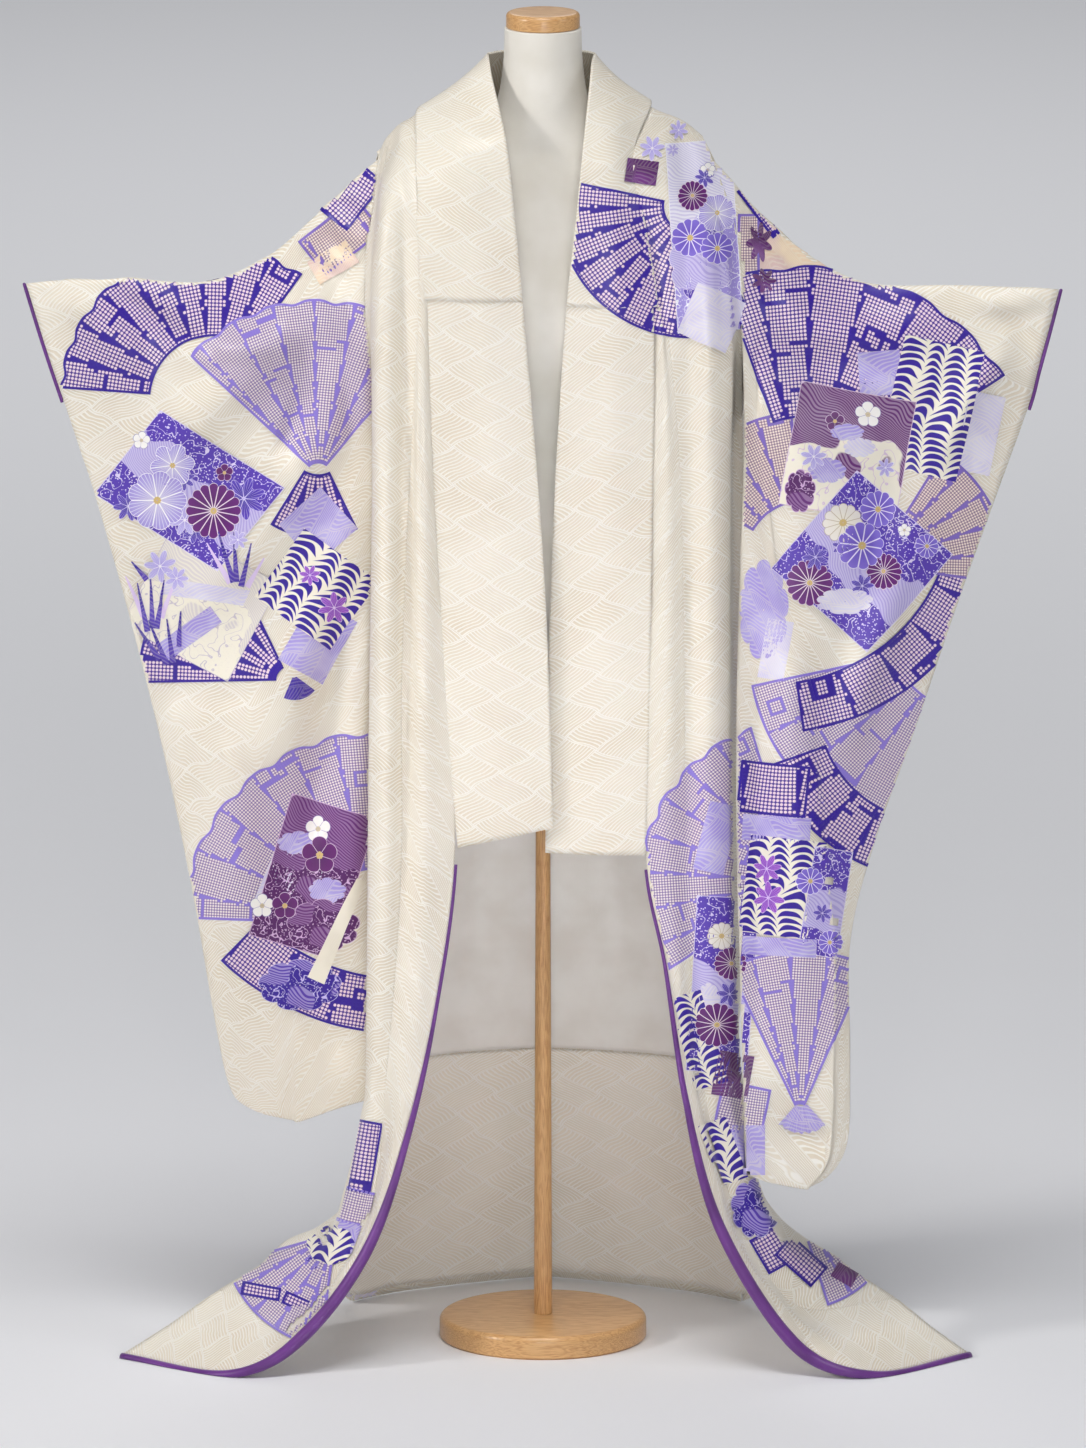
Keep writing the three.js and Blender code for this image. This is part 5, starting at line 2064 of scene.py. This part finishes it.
BACK_PRINTS: tuple[Shape, ...] = (
    # back of the left sleeve
    Fan("dots_indigo", (-440, 1190), 0, 80, 215, 40, 165, 5),
    Fan("dots_lavender", (-300, 1180), 1, 20, 235, 60, 128, 5),
    Card("ground_violet", (-440, 1060), 3, (190, 140), 28, 0.1),
    bloom("mum_plum", (-410, 1050), 5, 38),
    bloom("peony_mist", (-470, 1080), 4, 38),
    bloom("mum_violet", (-455, 1020), 4, 26),
    bloom("plum_white", (-500, 1110), 5, 14, 18),
    bloom("leaf_indigo", (-380, 1085), 4, 24, 20),
    Card("water_indigo", (-300, 960), 2, (130, 120), -24),
    bloom("leaf_violet", (-300, 975), 4, 20, 20),
    Card("ground_ivory", (-410, 900), 1, (150, 130), 20),
    bloom("mum_ivory", (-430, 910), 3, 30),
    bloom("plum_dark", (-385, 880), 3, 20, 18),
    Fan("dots_lavender", (-260, 560), 0, 70, 250, 92, 172, 6),
    Card("ground_plum", (-330, 600), 2, (110, 180), 14),
    bloom("plum_white", (-345, 660), 4, 18, 18),
    bloom("plum_dark", (-320, 625), 5, 24, 18),
    bloom("plum_white", (-310, 560), 4, 15, 18),
    Fan("dots_indigo", (-240, 760), 0, 300, 370, 232, 262),
    # back of the right sleeve
    Fan("dots_indigo", (450, 1180), 0, 80, 220, 20, 140, 5),
    Card("water_indigo", (560, 1200), 2, (100, 150), -12),
    Card("plum_card", (400, 1120), 3, (150, 150), 8),
    bloom("plum_white", (420, 1160), 5, 20, 18),
    bloom("plum_dark", (380, 1150), 5, 16, 18),
    bloom("leaf_lavender", (370, 1100), 5, 18, 20),
    Card("ground_violet", (450, 990), 4, (160, 160), 40),
    bloom("mum_plum", (420, 970), 6, 32),
    bloom("mum_violet", (470, 1010), 6, 30),
    bloom("mum_ivory", (440, 1030), 5, 24),
    Fan("dots_lavender", (330, 760), 0, 50, 220, 60, 140, 6),
    Card("ground_mist", (380, 640), 2, (110, 140), -10),
    bloom("mum_plum", (370, 660), 4, 26),
    bloom("peony_mist", (400, 620), 4, 28),
    Fan("dots_indigo", (350, 470), 1, 60, 120, 40, 140),
    # back of the body
    Fan("dots_indigo", (0, 1280), 0, 90, 270, 30, 150, 6),
    Fan("dots_lavender", (-80, 1250), 0, 30, 200, 200, 290, 6),
    Card("ground_violet", (60, 1290), 2, (180, 150), -24),
    bloom("mum_plum", (90, 1280), 4, 36),
    bloom("peony_mist", (30, 1310), 4, 36),
    bloom("mum_violet", (60, 1240), 4, 28),
    bloom("leaf_indigo", (120, 1320), 4, 24, 10),
    Card("plum_card", (-70, 1370), 2, (130, 130), 16),
    bloom("plum_white", (-60, 1400), 4, 18, 18),
    bloom("plum_dark", (-95, 1380), 4, 15, 18),
    Card("water_indigo", (10, 1130), 1, (150, 110), 12),
    bloom("leaf_violet", (10, 1140), 3, 22, 30),
    Fan("dots_lavender", (140, 1060), 0, 30, 150, 60, 150, 5),
    Fan("wash_lavender", (140, 1045), 1, 8, 40, 235, 305, 4),
    # back hem
    Fan("dots_lavender", (-60, 420), 0, 60, 260, 100, 176, 6),
    Fan("dots_indigo", (60, 300), 0, 100, 290, 20, 100, 6),
    Card("ground_violet", (-90, 300), 2, (190, 170), 22),
    bloom("mum_plum", (-110, 290), 4, 38),
    bloom("mum_violet", (-60, 330), 4, 32),
    bloom("peony_mist", (-130, 350), 4, 34),
    bloom("leaf_indigo", (-60, 250), 4, 26, 10),
    Card("water_indigo", (60, 250), 2, (190, 120), -14),
    bloom("leaf_violet", (70, 260), 4, 26, 30),
    Card("ground_ivory", (170, 330), 1, (120, 130), -20),
    bloom("plum_white", (180, 350), 3, 20, 18),
    bloom("plum_dark", (155, 310), 3, 22, 18),
    Fan("dots_lavender", (150, 120), 0, 40, 190, 20, 120, 6),
    Card("ground_plum", (-190, 180), 2, (120, 140), 30),
    bloom("plum_white", (-200, 200), 4, 20, 18),
    bloom("plum_dark", (-170, 160), 4, 24, 18),
    Fan("dots_indigo", (-40, 90), 0, 60, 150, 60, 150, 6),
)


# ------------------------------------------------------------------ creases
SLEEVE_CREASES_LEFT = crease_table(front=(
    (12, -7.2, -566, 1399, -501, 1359, -442, 1319, -406, 1305),
    (12.5, 7.8, -553, 1404, -481, 1372, -420, 1338),
    (18.8, 17.7, -455, 1305, -396, 1321, -344, 1332, -294, 1292),
    (17.5, -15.0, -294, 1281, -318, 1221, -339, 1161),
    (15.0, -11.2, -272, 1412, -257, 1335, -252, 1255, -252, 1188),
    (12.5, 7.8, -244, 1402, -234, 1308, -229, 1215),
    (12, -7.2, -289, 1474, -259, 1444, -223, 1412),
    (12, 7.2, -294, 1448, -265, 1431, -231, 1428),
    (12, 7.2, -278, 1498, -250, 1468, -221, 1447),
    (12, -7.2, -259, 1515, -239, 1490, -221, 1474),
    (12, -7.2, -311, 1439, -289, 1431, -265, 1408),
    (37.5, 21.6, -226, 1388, -318, 1348, -422, 1255, -514, 1148),
    (42.5, 18.0, -223, 1308, -291, 1201, -370, 1068, -461, 961),
    (40.0, 21.6, -220, 1161, -265, 1041, -318, 881, -357, 747),
    (25.0, 18.0, -223, 1041, -239, 854, -250, 667, -252, 506),
    (30.0, -15.0, -265, 987, -285, 827, -298, 640),
    (32.5, -12.0, -514, 1041, -488, 934, -461, 827),
    (37.5, 18.0, -416, 854, -399, 693, -389, 506),
    (22.5, -9.0, -318, 453, -291, 399, -252, 359),
    (22.5, 14.4, -631, 1388, -579, 1362, -514, 1281),
), back=(
    (26, 12.6, -230, 1480, -330, 1400, -450, 1330, -560, 1290),
    (28, -10.8, -235, 1430, -320, 1330, -400, 1200, -450, 1060),
    (26, 12.6, -240, 1400, -290, 1250, -320, 1080, -340, 880),
    (18, -9.0, -250, 1300, -270, 1100, -280, 900, -280, 650),
    (14, 5.9, -260, 1480, -290, 1460, -320, 1420),
    (26, 7.2, -400, 1100, -410, 900, -400, 700),
))
SLEEVE_CREASES_RIGHT = crease_table(front=(
    (22.5, 18.0, 284, 1388, 336, 1348, 414, 1335, 506, 1342),
    (30.0, -15.0, 297, 1348, 362, 1281, 440, 1215, 506, 1121),
    (32.5, 21.6, 290, 1281, 336, 1161, 401, 1041, 440, 934),
    (22.5, -12.0, 284, 1201, 303, 1068, 323, 934),
    (12, -7.2, 578, 1364, 610, 1342, 637, 1308),
    (12, 7.2, 545, 1375, 597, 1372, 650, 1382),
    (17.5, 14.4, 597, 1321, 545, 1255, 506, 1161),
    (12, -7.2, 273, 1455, 294, 1388, 299, 1321),
    (12, 7.2, 260, 1482, 281, 1439, 323, 1407),
    (12, -7.2, 251, 1502, 273, 1471, 310, 1439),
    (27.5, 18.0, 480, 1094, 440, 987, 401, 867, 382, 774),
    (17.5, -12.0, 268, 961, 273, 774, 278, 587, 281, 399),
    (25.0, 18.0, 310, 934, 320, 774, 331, 587, 336, 426),
    (17.5, -9.0, 297, 346, 336, 293, 388, 273),
    (32.5, -12.0, 467, 1228, 440, 1094, 401, 934),
), back=(
    (26, 12.6, 230, 1480, 330, 1400, 450, 1330, 560, 1290),
    (28, -10.8, 235, 1430, 320, 1330, 400, 1200, 450, 1060),
    (26, 10.8, 260, 1400, 300, 1250, 330, 1080, 350, 880),
    (18, -7.2, 300, 1300, 320, 1100, 350, 900, 360, 650),
    (14, 5.9, 270, 1480, 300, 1450, 330, 1410),
))
BODY_CREASES_LEFT = crease_table(front=(
    (15.0, 11.2, -197, 1636, -200, 1542, -203, 1368, -201, 1141, -200, 874, -203, 607, -208,
     366),
    (15.0, -11.2, -182, 1582, -179, 1475, -178, 1275, -176, 1008, -178, 714, -184, 473),
    (12.5, 7.8, -157, 1636, -156, 1502, -156, 1248, -154, 954, -156, 660, -163, 406),
    (12.5, -6.5, -208, 1609, -218, 1542, -223, 1462),
    (12.5, 4.7, -187, 1649, -174, 1569, -169, 1489),
    (12, -2.6, -95, 1328, -56, 1339, -27, 1331),
    (12.5, 3.1, -140, 1315, -95, 1304, -50, 1310),
    (37.5, 6.2, -119, 1248, -108, 1008, -106, 687),
    (25.0, -5.2, -50, 1275, -46, 1008, -41, 714),
    (17.5, -2.6, -128, 1181, -95, 1115, -82, 1008),
    (17.5, 12.5, -223, 340, -252, 206, -285, 99),
    (15.0, -7.8, -190, 366, -213, 233, -259, 126),
    (15.0, 9.4, -278, 152, -318, 112, -367, 86),
    (15.0, -7.8, -223, 172, -250, 119, -278, 86),
), back=(
    (16, 7.7, -60, 1500, -70, 1300, -66, 1000, -80, 700, -100, 400),
    (18, -9.7, -120, 1520, -140, 1300, -130, 1000, -150, 700, -190, 350),
    (14, 5.9, -170, 1500, -180, 1300, -170, 1000, -185, 700, -215, 380),
    (14, -5.9, -20, 1450, -24, 1200, -22, 900, -30, 600),
    (14, -5.9, -100, 1560, -60, 1520, -10, 1505),
    (14, -5.9, -200, 1400, -190, 1250, -185, 1100),
))
BODY_CREASES_RIGHT = crease_table(front=(
    (16.2, -5.2, 171, 1609, 187, 1489, 191, 1355, 192, 1168, 193, 874, 192, 607),
    (16.2, 9.4, 192, 1609, 205, 1489, 210, 1355, 213, 1168, 214, 874, 213, 607, 221, 406),
    (13.8, -6.9, 226, 1582, 247, 1462, 255, 1328, 256, 1115, 256, 821, 255, 527),
    (22.5, 3.7, 158, 1408, 163, 1248, 165, 1008, 161, 660),
    (12.5, 5.6, 234, 1542, 239, 1408, 240, 1195),
    (12, -2.6, 74, 1368, 114, 1360, 146, 1339),
    (12, 3.1, 43, 1379, 69, 1384, 103, 1374),
    (32.5, 6.2, 74, 1248, 80, 1008, 82, 660),
    (17.5, -5.2, 29, 1181, 30, 954, 30, 674),
    (20.0, 4.7, 127, 981, 122, 794, 119, 633),
    (15.0, 8.1, 213, 473, 234, 340, 273, 206),
    (15.0, -7.8, 234, 460, 257, 313, 303, 186),
    (15.0, 8.1, 260, 206, 303, 139, 352, 92),
    (15.0, -7.8, 237, 233, 263, 152, 297, 86),
    (12.5, 5.6, 158, 1636, 192, 1569, 226, 1515),
), back=(
    (16, 7.7, 60, 1500, 72, 1300, 64, 1000, 84, 700, 110, 400),
    (18, -9.7, 125, 1520, 145, 1300, 140, 1000, 160, 700, 200, 350),
    (14, 5.9, 180, 1500, 195, 1300, 200, 1000, 215, 700, 235, 380),
    (14, -5.9, 22, 1450, 26, 1200, 20, 900, 34, 600),
    (14, -5.9, 20, 1505, 70, 1525, 110, 1560),
    (14, -5.9, 215, 1400, 210, 1250, 215, 1100),
))
COLLAR_CREASES = crease_table(front=(
    (6, 2.5, -106, 1613, -80, 1623, -48, 1641),
    (6, -2, -98, 1597, -72, 1602, -50, 1615),
    (5, -1.8, -61, 1364, -41, 1369, -25, 1364),
    (6, 1.5, -135, 1380, -95, 1385, -56, 1380),
    (6, 2, 43, 1577, 69, 1565, 103, 1573),
    (6, -1.8, 33, 1549, 61, 1538, 98, 1543),
))


# ------------------------------------------------------------------ assembly
def settle(piece: bpy.types.Object, slot: str, *nodes: str) -> bpy.types.Object:
    """Makes a piece ride with the object, hides the nodes that it replaces, and logs its faces.

    Args:
        piece: The piece.
        slot: Not used.
        *nodes: The nodes that it replaces.

    Returns:
        The same piece.
    """
    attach(piece, "root")
    if nodes:
        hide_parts(*nodes)
    LOG.info("%s: %d faces", piece.name, len(piece.data.polygons))
    return piece


@dataclass
class Stand:
    """The dress form: turned base, pole, covered body and turned neck cap, in millimetres."""

    base_radius: float = 135
    base_top: float = 30
    pole_foot: float = 12
    pole_top: float = 9
    form_bottom: float = 800
    cap_low: float = 1732.7
    cap_high: float = 1752.7
    cap_radius: float = 47.5
    gap: float = 0.3  # between the pole and what it stands in
    pole_steps: int = 24
    turned_sides: int = 128
    form_net: tuple[int, int] = (97, 217)  # points round the form and up it
    sharp: float = 40  # an edge that turns by more than this stays sharp, in degrees

    def build(self) -> None:
        """Makes and dresses the stand's four pieces."""
        flat_wood = WoodFinish("base_wood", (0.9, 7.0, 14.0)).build()
        pole_wood = WoodFinish("pole_wood", (14.0, 14.0, 1.0)).build()
        base = rounded(self.base_radius, 0, self.base_top, 2.5, 8)
        cap = rounded(self.cap_radius, self.cap_low, self.cap_high, 1.2, 6)
        bottom, top = self.base_top + self.gap, self.form_bottom - self.gap
        steps = [(self.pole_foot + (self.pole_top - self.pole_foot) * k / self.pole_steps,
                  bottom + (top - bottom) * k / self.pole_steps)
                 for k in range(self.pole_steps + 1)]
        for name, node, profile, wood in (
            ("turned_base", "base", base, flat_wood),
            ("turned_cap", "neck_cap", cap, flat_wood),
            ("turned_pole", "pole", ((0, bottom), *steps, (0, top)), pole_wood),
        ):
            piece = placed(turned_mesh(name, profile, self.turned_sides), wood)
            bend = piece.modifiers.new("soft_edges", "EDGE_SPLIT")
            bend.split_angle = math.radians(self.sharp)
            settle(piece, "wood", node)
        sides, along = self.form_net
        rings = through(np.array(FORM, float) * MM, np.linspace(0, len(FORM) - 1, along))
        turn = np.linspace(0, math.tau, sides)
        grid = np.dstack([
            rings[:, 1:2] * np.cos(turn),
            rings[:, 3:4] + rings[:, 2:3] * np.sin(turn),
            np.broadcast_to(rings[:, 0:1], (len(rings), len(turn))),
        ])
        form = placed(tube_mesh("covered_form", grid), JerseyFinish("form_jersey").build())
        settle(form, "form_cloth", "form")


@dataclass
class Garment:
    """The whole garment, and the cloths that printing lies on."""

    cloths: list[bpy.types.Object] = field(default_factory=list)

    def build(self) -> None:
        """Makes, dresses and prints every piece."""
        silk = SilkFinish("figured_silk", (246, 242, 233), (234, 225, 208),
                          (224, 211, 189)).build()
        # The hem lining's silk is the figured silk made brighter: painted light standing in for
        # the light that the shaded inside of the hem does not get.
        hem_painted_light_silk = SilkFinish("hem_figured_silk", (252, 249, 244), (245, 237, 224),
                              (236, 226, 210)).build()
        lining = PlainSilk("lining_white_silk", (246, 243, 240), (236, 231, 226)).build()
        violet = PlainSilk("violet_roll_silk", (112, 52, 142), (88, 36, 114), 0.42).build()
        for half, front, back, creases in (
            (Half.LEFT, FRONT_LEFT, BACK_LEFT, BODY_CREASES_LEFT),
            (Half.RIGHT, FRONT_RIGHT, BACK_RIGHT, BODY_CREASES_RIGHT),
        ):
            self.skirt(Skirt(half, HalfBody(front, back), creases), silk, hem_painted_light_silk,
                       lining, violet)
        for sleeve in (
            Sleeve(Half.LEFT, SLEEVE_LEFT, SAG_LEFT, SLEEVE_CREASES_LEFT),
            Sleeve(Half.RIGHT, SLEEVE_RIGHT, SAG_RIGHT, SLEEVE_CREASES_RIGHT,
                   inner_corner=0.14),
        ):
            self.sleeve(sleeve, silk, violet)
        self.collar(silk)
        finishes = {style.name: style.build() for style in PRINTS}
        printer = Printer(self.cloths, finishes)
        for shapes, front, word in ((FRONT_PRINTS, True, "print_front"),
                                    (BACK_PRINTS, False, "print_back")):
            for piece in printer.lay(list(shapes), front, word):
                settle(piece, "furisode_silk")

    def skirt(self, skirt: Skirt, silk: bpy.types.Material, hem_painted_light_silk: bpy.types.Material,
              lining: bpy.types.Material, violet: bpy.types.Material) -> None:
        """Makes one half of the body with its linings and its front roll.

        Args:
            skirt: The half's shapes.
            silk: Finish of the outer cloth.
            hem_painted_light_silk: Finish of the hem's lining: the figured silk made brighter, as
                painted light for the shaded inside of the hem.
            lining: Finish of the lining above it.
            violet: Finish of the roll.
        """
        name = skirt.half.value
        for word, grid, finish, thick, slot, node, flat in (
            ("body_cloth", skirt.strip(), silk, SILK_THICK, "furisode_silk", "body",
             (0.26, 3.3)),
            ("okumi_cloth", skirt.panel(), silk, SILK_THICK, "furisode_silk", "okumi",
             (0.07, 1.4)),
            ("hem_lining_cloth", skirt.inside(skirt.lining_foot, None), hem_painted_light_silk,
             skirt.lining_thick, "hem_lining_silk", "hem_lining", (0.7, 0.36)),
            ("lining_cloth", skirt.inside(-1, skirt.lining_top), lining,
             skirt.lining_thick, "lining_silk", "lining", (0.5, 0.88)),
        ):
            cloth = placed(grid_mesh(f"{word}_{name}", grid), finish)
            thicken(cloth, thick)
            settle(cloth, slot, f"{node}_{name}")
            if finish is silk:
                self.cloths.append(cloth)
        roll = placed(tube_mesh(f"front_roll_cloth_{name}", skirt.roll()), violet)
        settle(roll, "violet_silk", f"front_roll_{name}")

    def sleeve(self, sleeve: Sleeve, silk: bpy.types.Material,
               violet: bpy.types.Material) -> None:
        """Makes one sleeve and the violet edge of its cuff.

        Args:
            sleeve: The sleeve's shapes.
            silk: Finish of its cloth.
            violet: Finish of the cuff's edge.
        """
        name = sleeve.half.value
        grid = sleeve.grid()
        cloth = placed(grid_mesh(f"sleeve_cloth_{name}", grid, sleeve_uv(grid)), silk)
        thicken(cloth, SILK_THICK)
        settle(cloth, "furisode_silk", f"sleeve_{name}")
        self.cloths.append(cloth)
        edge = placed(tube_mesh(f"cuff_roll_cloth_{name}", sleeve.cuff()), violet)
        settle(edge, "violet_silk", f"cuff_edge_{name}")

    def collar(self, silk: bpy.types.Material) -> None:
        """Makes the collar band and the over-collar that lies on its upper part.

        Args:
            silk: Finish of both.
        """
        for name, node, edge, vs, lift, flat in (
            ("collar_cloth", "collar", 0.0, np.linspace(0, len(COLLAR) - 1, 401), 0.0,
             (0.12, 2.3)),
            ("over_collar_cloth", "over_collar", OVER_EDGE,
             np.linspace(*OVER_COLLAR_ENDS, 231), OVER_LIFT, (0.12, 0.8)),
        ):
            grid = collar_place(np.linspace(edge, 2, 35), vs)
            out = normals_of(grid)
            grid = creased(grid, out, COLLAR_CREASES) + out * lift
            band = placed(grid_mesh(name, grid), silk)
            thicken(band, OVER_THICK if lift else SILK_THICK)
            settle(band, "furisode_silk", node)
            self.cloths.append(band)


def build() -> None:
    """Builds the stand and the garment."""
    Stand().build()
    Garment().build()


# ------------------------------------------------------------------ studio
@dataclass(frozen=True)
class Studio:
    """The camera, the soft lights, and the wide plain pale floor."""

    distance: float = 21.83
    lens: float = 418.5
    aim: tuple[float, float, float] = (0.0, 0.0, 0.8166)
    floor_reach: float = 24.0
    sensor: float = 36.0
    far_clip: float = 100.0
    sky: tuple[float, float, float, float] = (0.86, 0.88, 0.92, 1)
    sky_power: float = 0.17
    floor_paint: tuple[float, float, float] = (0.86, 0.863, 0.89)

    def camera(self) -> None:
        """Adds the camera and makes it the scene's own."""
        data = bpy.data.cameras.new("camera")
        data.type = "PERSP"
        data.sensor_width = self.sensor
        data.lens = self.lens
        data.clip_end = self.far_clip
        eye = bpy.data.objects.new("camera", data)
        toward = Vector((0, math.cos(VIEW_TILT), -math.sin(VIEW_TILT)))
        eye.location = Vector(self.aim) - toward * self.distance
        eye.rotation_euler = toward.to_track_quat("-Z", "Y").to_euler()
        bpy.context.scene.collection.objects.link(eye)
        bpy.context.scene.camera = eye

    def lamp(self, name: str, place: tuple, aim: tuple, size: float, watts: float,
             tint: tuple, spread: float = 180) -> None:
        """Adds one square soft light.

        Args:
            name: Name of the light.
            place: Where it stands.
            aim: Where it looks.
            size: Side of its square.
            watts: Power.
            tint: Colour.
            spread: How wide its beam is, in degrees.
        """
        data = bpy.data.lights.new(name, "AREA")
        data.shape = "SQUARE"
        data.size = size
        data.energy = watts
        data.color = tint
        data.spread = math.radians(spread)
        lamp = bpy.data.objects.new(name, data)
        lamp.location = place
        toward = Vector(aim) - lamp.location
        lamp.rotation_euler = toward.to_track_quat("-Z", "Y").to_euler()
        bpy.context.scene.collection.objects.link(lamp)

    def lights(self) -> None:
        """Adds the key, the fills, one beam into the opening, and the even surround."""
        middle = self.aim
        self.lamp("key", (-5.0, -2.7, 3.3), middle, 0.9, 132, (1.0, 0.98, 0.95))
        self.lamp("front", (0.5, -6.6, 1.1), (0.0, 0.0, 0.5), 1.8, 46, (1.0, 0.99, 0.98))
        self.lamp("opening", (0.0, -5.6, 1.5), (0.0, 0.1, 0.75), 0.3, 1.1, (1.0, 0.99, 0.97), 22)
        self.lamp("side", (5.0, -2.2, 2.8), middle, 1.0, 34, (0.98, 0.99, 1.0))
        self.lamp("top", (0.0, -2.2, 6.3), (0.0, -0.3, 0.4), 2.6, 165, (1.0, 1.0, 1.0))
        self.lamp("far", (0.0, 8.0, 6.0), (0.0, 8.0, 0.0), 5.0, 215, (1.0, 1.0, 1.0))
        world = bpy.data.worlds.new("surround")
        world.use_nodes = True
        sky = world.node_tree.nodes["Background"]
        sky.inputs["Color"].default_value = self.sky
        sky.inputs["Strength"].default_value = self.sky_power
        bpy.context.scene.world = world
        bpy.context.scene.view_settings.view_transform = "Standard"

    def floor(self) -> None:
        """Adds the wide plain floor that also fills the picture behind the object."""
        far = self.floor_reach
        grid = np.array([[(x, y, 0.0) for x in np.linspace(-far, far, 9)]
                         for y in np.linspace(-far, far, 9)])
        placed(grid_mesh("studio_floor", grid),
                        plain_finish("studio_floor_paint", self.floor_paint, 0.9))


def plain_finish(name: str, colour: tuple, rough: float) -> bpy.types.Material:
    """Makes a plain material for the studio.

    Args:
        name: Name of the material.
        colour: Its linear colour.
        rough: Its roughness.

    Returns:
        The material.
    """
    finish = bpy.data.materials.new(name)
    finish.use_nodes = True
    shader = finish.node_tree.nodes["Principled BSDF"]
    shader.inputs["Base Color"].default_value = (*colour, 1)
    shader.inputs["Roughness"].default_value = rough
    return finish


def main() -> None:
    """Builds the studio and every piece."""
    logging.basicConfig(level=logging.INFO, format="%(name)s: %(message)s")
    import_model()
    studio = Studio()
    studio.camera()
    studio.lights()
    studio.floor()
    build()


if __name__ == "__main__":
    main()
